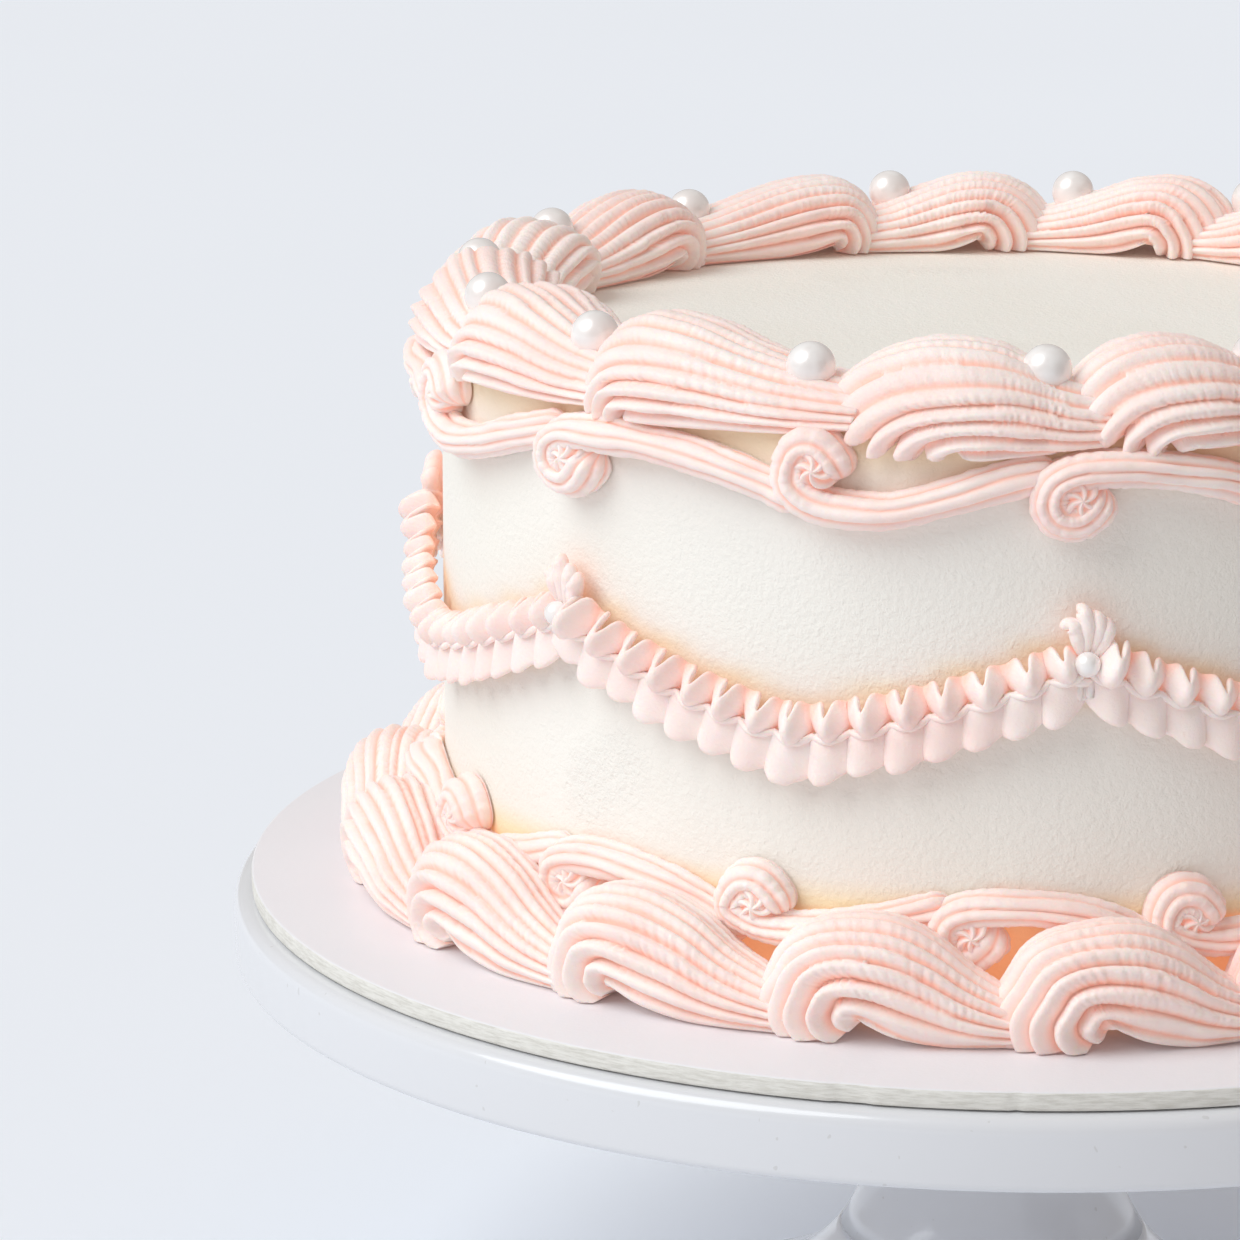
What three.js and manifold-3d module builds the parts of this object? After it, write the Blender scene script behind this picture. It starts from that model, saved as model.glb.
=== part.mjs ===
// Communion cake on a pedestal stand. An ivory frosted cake carries blush piped borders, a ruffled
// swag garland and sugar pearls, and it sits on a round board on a white glazed stand.
// Millimetres, +Z up, origin under the middle of the stand's foot, front towards -Y.
// Angles along the borders are in degrees: 0 at the front, growing to the right.

import * as THREE from "three";
import { mergeVertices } from "three/addons/utils/BufferGeometryUtils.js";
import { ParametricGeometry } from "three/addons/geometries/ParametricGeometry.js";
import Module from "manifold-3d";

const wasm = await Module();
wasm.setup();

// Driving dimensions: stand and board
const GAP = 0.3;
const PLATE_RADIUS = 143.3;
const PLATE_TOP = 100;
const SKIRT_DEPTH = 12.7;
const SKIRT_WALL = 6;
const RIM_ROUND = 3;
const PLATE_THICKNESS = 8;
const STEM_RADIUS = 20;
const STEM_WAIST_HEIGHT = 44;
const FOOT_RADIUS = 68;
const FOOT_EDGE = 5;
const FOOT_RECESS = 4;
const FOOT_RING_WIDTH = 9;
const STAND_SIDES = 36;
const BOARD_RADIUS = 140;
const BOARD_THICKNESS = 3.3;
const BOARD_SIDES = 48;

// Driving dimensions: cake
const CAKE_RADIUS = 103.9;
const CAKE_HEIGHT = 100;
const CAKE_EDGE_ROUND = 2;
const CAKE_SIDES = 48;
const BOARD_BASE = PLATE_TOP + GAP;
const BOARD_TOP = BOARD_BASE + BOARD_THICKNESS;
const CAKE_BASE = BOARD_TOP + GAP;
const CAKE_TOP = CAKE_BASE + CAKE_HEIGHT;

// Driving dimensions: shells. Each station of a shell's sweep gives the lean of its ring in degrees,
// how far it has slid along the tail (0 to 1), how far the icing stands from the pinch line, and half
// its width.
const TOP_SHELL = {
  ring: 95.5,
  base: CAKE_TOP + GAP,
  pinch: 21.2,
  droop: 4.5,
  wall: 0,
  stations: [
    [180, 0, 21.2, 10.8],
    [152, 0, 20.8, 14],
    [124, 0, 19.2, 15.2],
    [106, 0, 16.2, 15],
    [90, 0, 13.6, 14.4],
    [76, 0.06, 12, 13.4],
    [64, 0.28, 9.6, 12.6],
    [56, 0.6, 7.6, 11],
    [48, 1, 4.5, 8],
  ],
};
const BOTTOM_SHELL = {
  ring: 113.5,
  base: BOARD_TOP + GAP,
  pinch: 18.4,
  droop: 0,
  wall: CAKE_RADIUS + GAP,
  stations: [
    [180, 0, 18.4, 9],
    [155, 0, 20.2, 10.2],
    [130, 0, 21.2, 10.8],
    [107, 0, 21.3, 10.8],
    [86, 0, 20, 10.8],
    [70, 0.12, 17, 10.2],
    [60, 0.35, 13.4, 9.2],
    [53, 0.62, 9.2, 7.6],
    [48, 1, 4, 5.4],
  ],
};
const SHELL_RINGS = [0, 0.16, 0.31, 0.47, 0.7, 1];
const SHELL_LOBES = 5;
const SHELL_OVERLAP = 6;
const RIDGE_DEPTH = 0.15;
const SHELL_SQUARENESS = 0.7;
const OVERHANG_START = 1.5;
const OVERHANG_END = 5;

// The heads of the shells that show, and how many more finish the ring
const TOP_HEADS_SHOWN = [-208.1, -186.1, -164.4, -138.4, -115, -92, -69, -44.5, -18, 5.1];
const TOP_SHELLS = 16;
const BOTTOM_HEADS_SHOWN = [-61, -41, -20.2, -0.6];
const BOTTOM_SHELLS = 18;

// Driving dimensions: pearls
const PEARL_RADIUS = 4.2;
const PEARL_RING = 98;
const PEARL_LIFT = 16;
const PEARL_STEP = 0.25;
const PEARL_SETBACK = 2.2;
const SMALL_PEARL_RADIUS = 2.15;

// Driving dimensions: scrolls. A curl's height is above the cake's base, its offset is in degrees from
// the shell's head, and the rope's seat is how much of its depth its middle stands off the wall.
const ROPE_WIDTH = 7.2;
const ROPE_DEPTH = 6;
const ROPE_SEAT = 0.42;
const ROPE_TIP = 0.62;
const ROPE_LEAD = 0.15;
const ROPE_SIDES = 4;
const ROPE_STEPS = 10;
const CURL_POINTS = 3;
const CURL_LIFT = 1.4;
const TUCK = 5;
const TOP_SCROLL = { hangingCurl: 89.3, standingCurl: 95.5, offset: 0.7 };
const BOTTOM_SCROLL = { hangingCurl: 14.8, standingCurl: 19.8, offset: -2.4 };

// Driving dimensions: swag garland
const SWAGS = 7;
const FIRST_BOW = 7.4;
const BOW_HEIGHT = 62;
const SWAG_DROP = 13.5;
const SWAG_ROUNDNESS = 1.3;
const BAND_ABOVE = 6;
const BAND_BELOW = 7.2;
const BAND_PROUD = 5.6;
const PLEATS = 8;
const PLEAT_DEPTH = 1;
const PLEAT_WAVE = 0.6;
const BOW_PROUD = 2.3;
const BOW_PETAL = { width: 1.9, depth: 2.3, length: 5.6, fan: 0.42, spacing: 2.3, rise: 4.4, step: 1.4 };
const BOW_PEARL = { proud: 4.1, rise: 1 };

// Finishes
const PORCELAIN = new THREE.MeshStandardMaterial({ color: 0xf4f4f6, roughness: 0.18, metalness: 0 });
const CARD = new THREE.MeshStandardMaterial({ color: 0xf3f1ee, roughness: 0.45, metalness: 0 });
const IVORY_ICING = new THREE.MeshStandardMaterial({ color: 0xf5f0e6, roughness: 0.55, metalness: 0 });
const BLUSH_ICING = new THREE.MeshStandardMaterial({ color: 0xfbd9cd, roughness: 0.5, metalness: 0 });
const PEARL = new THREE.MeshStandardMaterial({ color: 0xf6f3f0, roughness: 0.2, metalness: 0 });

const cake = new THREE.Group();

// Solids and meshes

/** Turns a closed geometry into a solid, with its shared points merged and its slivers dropped. */
function solidOf(geometry) {
  const bare = geometry.clone();
  bare.deleteAttribute("normal");
  bare.deleteAttribute("uv");
  const merged = mergeVertices(bare, 1e-4);
  const corners = merged.index.array;
  const kept = [];
  for (let i = 0; i < corners.length; i += 3) {
    const [a, b, c] = [corners[i], corners[i + 1], corners[i + 2]];
    if (a !== b && b !== c && c !== a) kept.push(a, b, c);
  }
  const mesh = new wasm.Mesh({
    numProp: 3,
    vertProperties: new Float32Array(merged.attributes.position.array),
    triVerts: new Uint32Array(kept),
  });
  mesh.merge();
  return new wasm.Manifold(mesh);
}

/** Adds a solid to the cake as a named mesh, leaving out any crumb that a cut has split off. */
function addPiece(name, solid, material) {
  const parts = solid.decompose();
  const largest = parts.reduce((best, part) => (part.volume() > best.volume() ? part : best));
  const { vertProperties, triVerts } = largest.getMesh();
  const geometry = new THREE.BufferGeometry();
  geometry.setAttribute("position", new THREE.BufferAttribute(vertProperties, 3));
  geometry.setIndex(new THREE.BufferAttribute(triVerts, 1));
  geometry.computeVertexNormals();
  const mesh = new THREE.Mesh(geometry, material);
  mesh.name = name;
  cake.add(mesh);
}

/** Joins a list of solids into one. */
function joinAll(solids) {
  return solids.reduce((sum, solid) => sum.add(solid));
}

/** A solid of revolution about Z from an outline of [radius, height] pairs, listed downwards. */
function turned(outline, sides) {
  const upwards = outline.toReversed();
  const profile = upwards.map(([radius, height]) => new THREE.Vector2(radius, height));
  const geometry = new THREE.LatheGeometry(profile, sides);
  geometry.rotateX(Math.PI / 2);
  return solidOf(geometry);
}

/** A closed body swept from rings: point(u, v) gives a place around (u) and along (v) the body. */
function swept(point, sides, steps) {
  const surface = (u, v, target) => {
    point(u % 1, v, target);
  };
  return solidOf(new ParametricGeometry(surface, sides, steps));
}

/** Puts a point of the border's strip (along, outwards, up) round the cake's axis. */
function onRing(angle, ring, along, out, up, target) {
  const turn = THREE.MathUtils.degToRad(angle) + along / ring;
  const radius = ring + out;
  target.set(radius * Math.sin(turn), -radius * Math.cos(turn), up);
}

/** Two-digit number for a piece's name. */
function numbered(name, index) {
  return `${name}_${String(index + 1).padStart(2, "0")}`;
}

/** All the head angles round a ring: the ones that show, then the rest at even spacing. */
function ringAngles(shown, count) {
  const last = shown[shown.length - 1];
  const rest = count - shown.length;
  const pitch = (shown[0] + 360 - last) / (rest + 1);
  const hidden = Array.from({ length: rest }, (_, i) => last + pitch * (i + 1));
  return [...shown, ...hidden];
}

// Stand and board

function standOutline() {
  const skirtBase = PLATE_TOP - SKIRT_DEPTH;
  const innerSkirt = PLATE_RADIUS - SKIRT_WALL;
  const underside = PLATE_TOP - PLATE_THICKNESS;
  return [
    [0, PLATE_TOP],
    [PLATE_RADIUS - RIM_ROUND, PLATE_TOP],
    [PLATE_RADIUS - RIM_ROUND * 0.3, PLATE_TOP - RIM_ROUND * 0.3],
    [PLATE_RADIUS, PLATE_TOP - RIM_ROUND],
    [PLATE_RADIUS, skirtBase],
    [innerSkirt, skirtBase],
    [innerSkirt - 2, underside],
    [STEM_RADIUS + 22, underside - 1],
    [STEM_RADIUS + 4, underside - 10],
    [STEM_RADIUS, STEM_WAIST_HEIGHT],
    [STEM_RADIUS + 4, STEM_WAIST_HEIGHT - 10],
    [STEM_RADIUS + 14, STEM_WAIST_HEIGHT - 22],
    [FOOT_RADIUS - 17, FOOT_EDGE + 8],
    [FOOT_RADIUS - 1, FOOT_EDGE + 1],
    [FOOT_RADIUS - 1, 0],
    [FOOT_RADIUS - FOOT_RING_WIDTH, 0],
    [FOOT_RADIUS - FOOT_RING_WIDTH - 3, FOOT_RECESS],
    [0, FOOT_RECESS],
  ];
}

function boardOutline() {
  return [
    [0, BOARD_TOP],
    [BOARD_RADIUS, BOARD_TOP],
    [BOARD_RADIUS, BOARD_BASE],
    [0, BOARD_BASE],
  ];
}

function cakeOutline() {
  return [
    [0, CAKE_TOP],
    [CAKE_RADIUS - CAKE_EDGE_ROUND, CAKE_TOP],
    [CAKE_RADIUS, CAKE_TOP - CAKE_EDGE_ROUND],
    [CAKE_RADIUS, CAKE_BASE],
    [0, CAKE_BASE],
  ];
}

// Piped shells

/** Reads the values of evenly spaced stations at a share of the way along, on a smooth curve. */
function readStations(stations, share) {
  const last = stations.length - 1;
  const place = share * last;
  const i = Math.min(Math.floor(place), last - 1);
  const t = place - i;
  const nearby = [i - 1, i, i + 1, i + 2].map((k) => stations[THREE.MathUtils.clamp(k, 0, last)]);
  const [before, from, to, after] = nearby;
  return from.map((value, k) => {
    const [slopeIn, slopeOut] = [(to[k] - before[k]) / 2, (after[k] - value) / 2];
    const rise = to[k] - value;
    const square = 3 * rise - 2 * slopeIn - slopeOut;
    const cube = slopeIn + slopeOut - 2 * rise;
    return value + slopeIn * t + square * t ** 2 + cube * t ** 3;
  });
}

/**
 * A shell is a star-shaped rope of icing that rises at its head, curls over a pinch line at its base
 * and thins into a tail. Each ring of the sweep stands on the pinch line and leans further over.
 */
function shellSolid(size, angle, pitchAngle, grow) {
  const tail = THREE.MathUtils.degToRad(pitchAngle) * size.ring + SHELL_OVERLAP - size.pinch;
  const sides = SHELL_LOBES * 2;
  const steps = SHELL_RINGS.length + 1;
  const point = (u, v, target) => {
    const ring = THREE.MathUtils.clamp(Math.round(v * steps) - 1, 0, SHELL_RINGS.length - 1);
    const [lean, slide, height, halfWidth] = readStations(size.stations, SHELL_RINGS[ring]);
    const tilt = THREE.MathUtils.degToRad(lean);
    const open = v === 0 || v === 1 ? 0 : 1;
    const ridge = Math.round(u * sides) % 2 === 0 ? 1 : 1 - RIDGE_DEPTH;
    const around = u * 2 * Math.PI;
    const radial = height / 2 + open * (height / 2 + grow) * ridge * Math.cos(around);
    const side = Math.sin(around);
    const spread = ridge * Math.sign(side) * Math.abs(side) ** SHELL_SQUARENESS;
    const out = open * (halfWidth + grow) * spread;
    const along = size.pinch + tail * slide + radial * Math.cos(tilt);
    const overhang = THREE.MathUtils.smoothstep(size.ring + out - CAKE_RADIUS, OVERHANG_START, OVERHANG_END);
    const up = size.base + radial * Math.sin(tilt) - size.droop * overhang;
    onRing(angle, size.ring, along, Math.max(out, size.wall - size.ring), up, target);
  };
  return swept(point, sides, steps);
}

/** Adds one ring of shells, where each head covers the tail of the shell before it. */
function addShells(name, size, heads, scrollRoom) {
  const pitches = heads.map((head, i) => (i + 1 < heads.length ? heads[i + 1] : heads[0] + 360) - head);
  const rooms = heads.map((head, i) => shellSolid(size, head, pitches[i], GAP));
  return heads.map((head, i) => {
    const next = rooms[(i + 1) % heads.length];
    const shell = shellSolid(size, head, pitches[i], 0).subtract(next).subtract(scrollRoom);
    addPiece(numbered(name, i), shell, BLUSH_ICING);
    return shell;
  });
}

// Pearls

/** A top pearl over the dip between a tail and the next head, let down until it all but touches. */
function pearlSolid(head, shells) {
  const geometry = new THREE.SphereGeometry(PEARL_RADIUS, 8, 4);
  geometry.rotateX(Math.PI / 2);
  geometry.translate(0, -PEARL_RING, CAKE_TOP + PEARL_LIFT);
  geometry.rotateZ(THREE.MathUtils.degToRad(head) - PEARL_SETBACK / PEARL_RING);
  const pearl = solidOf(geometry);
  let drop = 0;
  while (shells.every((shell) => shell.intersect(pearl.translate([0, 0, -drop - GAP])).isEmpty())) {
    drop += PEARL_STEP;
  }
  return pearl.translate([0, 0, -drop]);
}

// Scrolls

/** A curl that hangs under its rope, which then runs right and tucks under the next curl. */
function hangingScroll(span, drop) {
  return [
    [2.2, -1.2],
    [1.2, -3.2],
    [-2.2, -2.6],
    [-3.6, 0.8],
    [-1.4, 4.2],
    [5, 5.8],
    [span * 0.38, 5.4],
    [span * 0.7, 2.6 + drop * 0.2],
    [span * 0.96, drop - 3],
  ];
}

/** A curl that stands on its rope, which passes under it and then rises to the right. */
function standingScroll(span, rise) {
  return [
    [1.6, 1.4],
    [0.2, 3],
    [-3.2, 1.8],
    [-4.6, -2],
    [-2.4, -6.4],
    [4, -8.4],
    [span * 0.32, -8],
    [span * 0.66, -3.6 + rise * 0.2],
    [span * 0.95, rise + 0.6],
  ];
}

/** One scroll's rope: a ridged section that lies on the cake's wall along the scroll's path. */
function ropeSolid(places, angle, height, grow) {
  const ring = CAKE_RADIUS + ROPE_DEPTH * ROPE_SEAT;
  const stations = places.map(([along, up], i) => {
    const raised = i < CURL_POINTS ? CURL_LIFT : 0;
    return new THREE.Vector3(along, raised, up);
  });
  const path = new THREE.CatmullRomCurve3(stations, false, "centripetal");
  const spot = new THREE.Vector3();
  const heading = new THREE.Vector3();
  const point = (u, v, target) => {
    path.getPoint(v, spot);
    path.getTangent(v, heading);
    const ends = v === 0 || v === 1 ? 0 : 1;
    const around = -u * 2 * Math.PI;
    const fullness = Math.sin(Math.PI * (ROPE_LEAD + v * (1 - ROPE_LEAD)));
    const taper = THREE.MathUtils.lerp(ROPE_TIP, 1, fullness);
    const across = ends * (ROPE_WIDTH / 2 * taper + grow) * Math.sin(around);
    const proud = spot.y + ends * (ROPE_DEPTH / 2 * taper + grow) * Math.cos(around);
    const out = Math.max(proud, CAKE_RADIUS + GAP - ring);
    onRing(angle, ring, spot.x - across * heading.z, out, height + spot.z + across * heading.x, target);
  };
  return swept(point, ROPE_SIDES, ROPE_STEPS);
}

/** A ring of scrolls, one to a shell, hanging and standing by turns. */
function scrollRing(heads, size, grow) {
  const ropes = heads.map((head, i) => {
    const next = i + 1 < heads.length ? heads[i + 1] : heads[0] + 360;
    const span = THREE.MathUtils.degToRad(next - head) * CAKE_RADIUS;
    const hangs = i % 2 === 1;
    const [from, to] = hangs
      ? [size.hangingCurl, size.standingCurl]
      : [size.standingCurl, size.hangingCurl];
    const places = hangs ? hangingScroll(span, to - from - TUCK) : standingScroll(span, to - from + TUCK);
    return ropeSolid(places, head + size.offset, CAKE_BASE + from, grow);
  });
  return joinAll(ropes);
}

// Swag garland

/** How high the garland hangs at an angle, from its bows at the top to the middle of a swag. */
function swagHeight(angle) {
  const pitch = 360 / SWAGS;
  const share = THREE.MathUtils.euclideanModulo(angle - FIRST_BOW, pitch) / pitch;
  const sag = 1 - Math.abs(2 * share - 1) ** SWAG_ROUNDNESS;
  return CAKE_BASE + BOW_HEIGHT - SWAG_DROP * sag;
}

/** The ruffled band all round the wall: pleats stand out above its middle and petals lie below. */
function garlandSolid() {
  const steps = SWAGS * PLEATS * 2;
  const sectionSides = 5;
  const inset = CAKE_RADIUS + GAP;
  const point = (u, v, target) => {
    const angle = FIRST_BOW + 360 * (u % 1);
    const pleat = Math.round(u * steps) % 2 === 0 ? 1 : -1;
    const corner = Math.round(v * sectionSides) % sectionSides;
    const corners = [
      [inset, -BAND_BELOW * 0.7],
      [inset + BAND_PROUD * 0.6 - pleat * PLEAT_DEPTH, -BAND_BELOW - pleat * PLEAT_WAVE],
      [inset + BAND_PROUD * 0.7, 0],
      [inset + BAND_PROUD - PLEAT_DEPTH + pleat * PLEAT_DEPTH, BAND_ABOVE + pleat * PLEAT_WAVE],
      [inset, BAND_ABOVE * 0.55],
    ];
    const [radius, up] = corners[corner];
    const turn = THREE.MathUtils.degToRad(angle);
    const height = swagHeight(angle) + up;
    target.set(radius * Math.sin(turn), -radius * Math.cos(turn), height);
  };
  return solidOf(new ParametricGeometry(point, steps, sectionSides));
}

/** A bow where two swags meet: three small ridges fan upwards and a small pearl closes them. */
function bowSolid(angle) {
  const height = CAKE_BASE + BOW_HEIGHT;
  const ring = CAKE_RADIUS + GAP + BOW_PROUD;
  const { width, depth, length, fan, spacing, rise, step } = BOW_PETAL;
  const petals = [-1, 0, 1].map((side) => {
    const petal = new THREE.SphereGeometry(1, 4, 3);
    petal.rotateX(Math.PI / 2);
    petal.scale(width, depth, length);
    petal.rotateY(side * fan);
    petal.translate(side * spacing, 0, rise - Math.abs(side) * step);
    return petal;
  });
  const pearl = new THREE.OctahedronGeometry(SMALL_PEARL_RADIUS, 1);
  pearl.translate(0, -BOW_PEARL.proud, BOW_PEARL.rise);
  const turn = THREE.MathUtils.degToRad(angle);
  const placed = [...petals, pearl].map((geometry) => {
    geometry.translate(0, -ring, height);
    geometry.rotateZ(turn);
    return solidOf(geometry);
  });
  return joinAll(placed);
}

// The object, from the table upwards

const topHeads = ringAngles(TOP_HEADS_SHOWN, TOP_SHELLS);
const bottomHeads = ringAngles(BOTTOM_HEADS_SHOWN, BOTTOM_SHELLS);

addPiece("stand", turned(standOutline(), STAND_SIDES), PORCELAIN);
addPiece("cake_board", turned(boardOutline(), BOARD_SIDES), CARD);
addPiece("cake_body", turned(cakeOutline(), CAKE_SIDES), IVORY_ICING);

const topScrollRoom = scrollRing(topHeads, TOP_SCROLL, GAP);
const bottomScrollRoom = scrollRing(bottomHeads, BOTTOM_SCROLL, GAP);

const topShells = addShells("top_shell", TOP_SHELL, topHeads, topScrollRoom);
addShells("bottom_shell", BOTTOM_SHELL, bottomHeads, bottomScrollRoom);

topHeads.forEach((head, i) => {
  const beside = [topShells[i], topShells[(i + TOP_SHELLS - 1) % TOP_SHELLS]];
  addPiece(numbered("top_pearl", i), pearlSolid(head, beside), PEARL);
});

addPiece("top_scrolls", scrollRing(topHeads, TOP_SCROLL, 0), BLUSH_ICING);
addPiece("bottom_scrolls", scrollRing(bottomHeads, BOTTOM_SCROLL, 0), BLUSH_ICING);

const bows = Array.from({ length: SWAGS }, (_, i) => bowSolid(FIRST_BOW + (360 / SWAGS) * i));
addPiece("swag_garland", joinAll([garlandSolid(), ...bows]), BLUSH_ICING);

export default cake;
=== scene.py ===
"""Communion cake on a pedestal stand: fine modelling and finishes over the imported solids.

Lengths are in millimetres until they reach a mesh, where MM turns them into Blender's metres.
Angles round the cake are in degrees, 0 at the front and growing to the right.
"""

import logging
import math
from dataclasses import dataclass
from enum import Enum
from typing import Callable, Sequence

import bmesh
import bpy
import numpy as np
from mathutils import Matrix, Vector


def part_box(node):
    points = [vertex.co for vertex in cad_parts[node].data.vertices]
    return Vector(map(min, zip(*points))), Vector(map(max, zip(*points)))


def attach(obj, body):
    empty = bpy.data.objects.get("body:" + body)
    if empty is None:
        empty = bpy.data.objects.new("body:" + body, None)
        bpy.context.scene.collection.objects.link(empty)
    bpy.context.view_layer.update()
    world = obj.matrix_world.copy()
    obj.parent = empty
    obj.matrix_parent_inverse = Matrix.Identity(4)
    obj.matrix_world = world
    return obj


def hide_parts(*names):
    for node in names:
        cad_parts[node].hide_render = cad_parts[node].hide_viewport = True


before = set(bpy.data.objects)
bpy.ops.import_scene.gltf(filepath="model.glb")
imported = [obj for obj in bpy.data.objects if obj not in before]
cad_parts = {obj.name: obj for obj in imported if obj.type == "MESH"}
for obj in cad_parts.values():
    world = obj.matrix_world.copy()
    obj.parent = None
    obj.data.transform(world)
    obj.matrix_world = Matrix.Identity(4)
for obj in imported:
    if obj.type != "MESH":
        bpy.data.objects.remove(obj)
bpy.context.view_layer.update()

MM = 0.001
BLACK = (0.0, 0.0, 0.0, 1.0)
MERGE_DISTANCE = 2e-7
GAP = 0.3
LOG = logging.getLogger("cake")

Form = Callable[[np.ndarray, np.ndarray], np.ndarray]
Colour = tuple[float, ...]
Outline = Sequence[tuple[float, float]]


class Slot(Enum):
    """The record's material slots."""

    GLAZE = "stand"
    CARD = "board"
    IVORY = "ivory_icing"
    BLUSH = "blush_icing"
    PEARL = "sugar_pearl"


class Hang(Enum):
    """How a scroll's curl lies against its rope."""

    HANGING = "hanging"
    STANDING = "standing"


# Shared forms


@dataclass(frozen=True)
class Grain:
    """Smooth seeded noise that makes every piped piece a little different."""

    seed: int
    size: int = 64

    def at(self, x: np.ndarray, y: np.ndarray) -> np.ndarray:
        """Reads the noise.

        Args:
            x: places along the first direction, one unit to a lump.
            y: places along the second direction.

        Returns:
            Values from -1 to 1.
        """
        lattice = np.random.default_rng(self.seed).uniform(-1, 1, (self.size, self.size))
        x, y = np.broadcast_arrays(x, y)
        column, row = np.floor(x).astype(int), np.floor(y).astype(int)
        across, down = x - column, y - row
        across, down = across**2 * (3 - 2 * across), down**2 * (3 - 2 * down)
        near, far = column % self.size, (column + 1) % self.size
        low, high = row % self.size, (row + 1) % self.size
        front = lattice[near, low] * (1 - across) + lattice[far, low] * across
        back = lattice[near, high] * (1 - across) + lattice[far, high] * across
        return front * (1 - down) + back * down


def smoothstep(value: np.ndarray, start: float, end: float) -> np.ndarray:
    """Eases from 0 at start to 1 at end."""
    share = np.clip((value - start) / (end - start), 0, 1)
    return share**2 * (3 - 2 * share)


def read_curve(stations: np.ndarray, share: np.ndarray) -> np.ndarray:
    """Reads evenly spaced stations on a smooth curve.

    Args:
        stations: one row of values for each station.
        share: how far along to read, from 0 to 1.

    Returns:
        One row of values for each share.
    """
    last = len(stations) - 1
    place = np.clip(share, 0, 1) * last
    start = np.minimum(place.astype(int), last - 1)
    t = (place - start)[..., None]
    before = stations[np.maximum(start - 1, 0)]
    here, there = stations[start], stations[start + 1]
    after = stations[np.minimum(start + 2, last)]
    slope_in, slope_out = (there - before) / 2, (after - here) / 2
    rise = there - here
    square = 3 * rise - 2 * slope_in - slope_out
    cube = slope_in + slope_out - 2 * rise
    return here + slope_in * t + square * t**2 + cube * t**3


def on_ring(angle: float, ring: float, along: np.ndarray, out: np.ndarray, up: np.ndarray) -> np.ndarray:
    """Puts places of a border's strip round the cake's axis.

    Args:
        angle: the strip's start in degrees.
        ring: the radius at which along is measured.
        along: distance to the right of the start.
        out: distance outwards from the ring.
        up: height.

    Returns:
        One row of x, y, z for each place.
    """
    turn = np.radians(angle) + along / ring
    radius = ring + out
    return np.stack(np.broadcast_arrays(radius * np.sin(turn), -radius * np.cos(turn), up), axis=-1)


def bend_sheet(mesh: bmesh.types.BMesh, rows: int, columns: int, form: Form) -> None:
    """Adds a flat sheet of faces to a mesh and bends it into a form.

    Args:
        mesh: the mesh that takes the sheet.
        rows: faces along the second direction.
        columns: faces along the first direction.
        form: gives the places in millimetres for column and row numbers.
    """
    made = bmesh.ops.create_grid(mesh, x_segments=columns, y_segments=rows, size=0.5)
    flat = np.array([vert.co[:2] for vert in made["verts"]]) + 0.5
    places = form(np.round(flat[:, 0] * columns), np.round(flat[:, 1] * rows)) * MM
    for vert, place in zip(made["verts"], places):
        vert.co = place


def pipe(mesh: bmesh.types.BMesh, sheets: Sequence[tuple[int, int, Form]], grooves: list[np.ndarray]) -> None:
    """Adds bent sheets to a mesh and keeps how deep in a groove each point lies.

    Args:
        mesh: the mesh that takes the sheets.
        sheets: the rows, columns and form of each.
        grooves: the list that the forms add their points' shares to.
    """
    before = len(mesh.verts)
    for rows, columns, form in sheets:
        bend_sheet(mesh, rows, columns, form)
    layer = mesh.verts.layers.float.get("groove") or mesh.verts.layers.float.new("groove")
    mesh.verts.ensure_lookup_table()
    for vert, groove in zip(mesh.verts[before:], np.concatenate(grooves)):
        vert[layer] = groove


def rounded_outline(corners: Sequence[tuple[float, float, float]], steps: int) -> list[Vector]:
    """Rounds the corners of a turned outline.

    Args:
        corners: radius, height and rounding of each corner.
        steps: points to a rounded corner.

    Returns:
        The outline's points in the XZ plane, in metres.
    """
    points = []
    for i, (radius, height, rounding) in enumerate(corners):
        corner = Vector((radius, 0, height))
        if rounding == 0:
            points.append(corner * MM)
            continue
        before = Vector((corners[i - 1][0], 0, corners[i - 1][1]))
        after = Vector((corners[i + 1][0], 0, corners[i + 1][1]))
        start = corner + (before - corner).normalized() * rounding
        end = corner + (after - corner).normalized() * rounding
        for step in range(steps + 1):
            t = step / steps
            points.append((start * (1 - t) ** 2 + corner * 2 * t * (1 - t) + end * t**2) * MM)
    return points


def read_section(
    column: np.ndarray, dome_columns: int, floor_columns: int, open_angle: float
) -> tuple[np.ndarray, np.ndarray, np.ndarray]:
    """Works out where columns lie in a domed section with a flat floor.

    Args:
        column: column numbers, first over the dome and then back along the floor.
        dome_columns: how many columns the dome has.
        floor_columns: how many the floor has.
        open_angle: the dome's half angle in radians.

    Returns:
        The angle from the crest, how far a floor column has come back from 0 to 1, and whether the
        column is on the dome.
    """
    on_dome = column <= dome_columns
    phi = np.where(on_dome, (2 * column / dome_columns - 1) * open_angle, open_angle)
    back = np.clip((column - dome_columns) / floor_columns, 0, 1)
    return phi, back, on_dome


def turn_outline(mesh: bmesh.types.BMesh, outline: Sequence[Vector], steps: int) -> None:
    """Spins an outline round the cake's axis.

    Args:
        mesh: the mesh that takes the turned surface.
        outline: points in the XZ plane, from axis to axis.
        steps: faces round the axis.
    """
    verts = [mesh.verts.new(point) for point in outline]
    edges = [mesh.edges.new(pair) for pair in zip(verts, verts[1:])]
    bmesh.ops.spin(
        mesh,
        geom=verts + edges,
        cent=(0, 0, 0),
        axis=(0, 0, 1),
        angle=math.tau,
        steps=steps,
        use_merge=True,
    )


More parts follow.
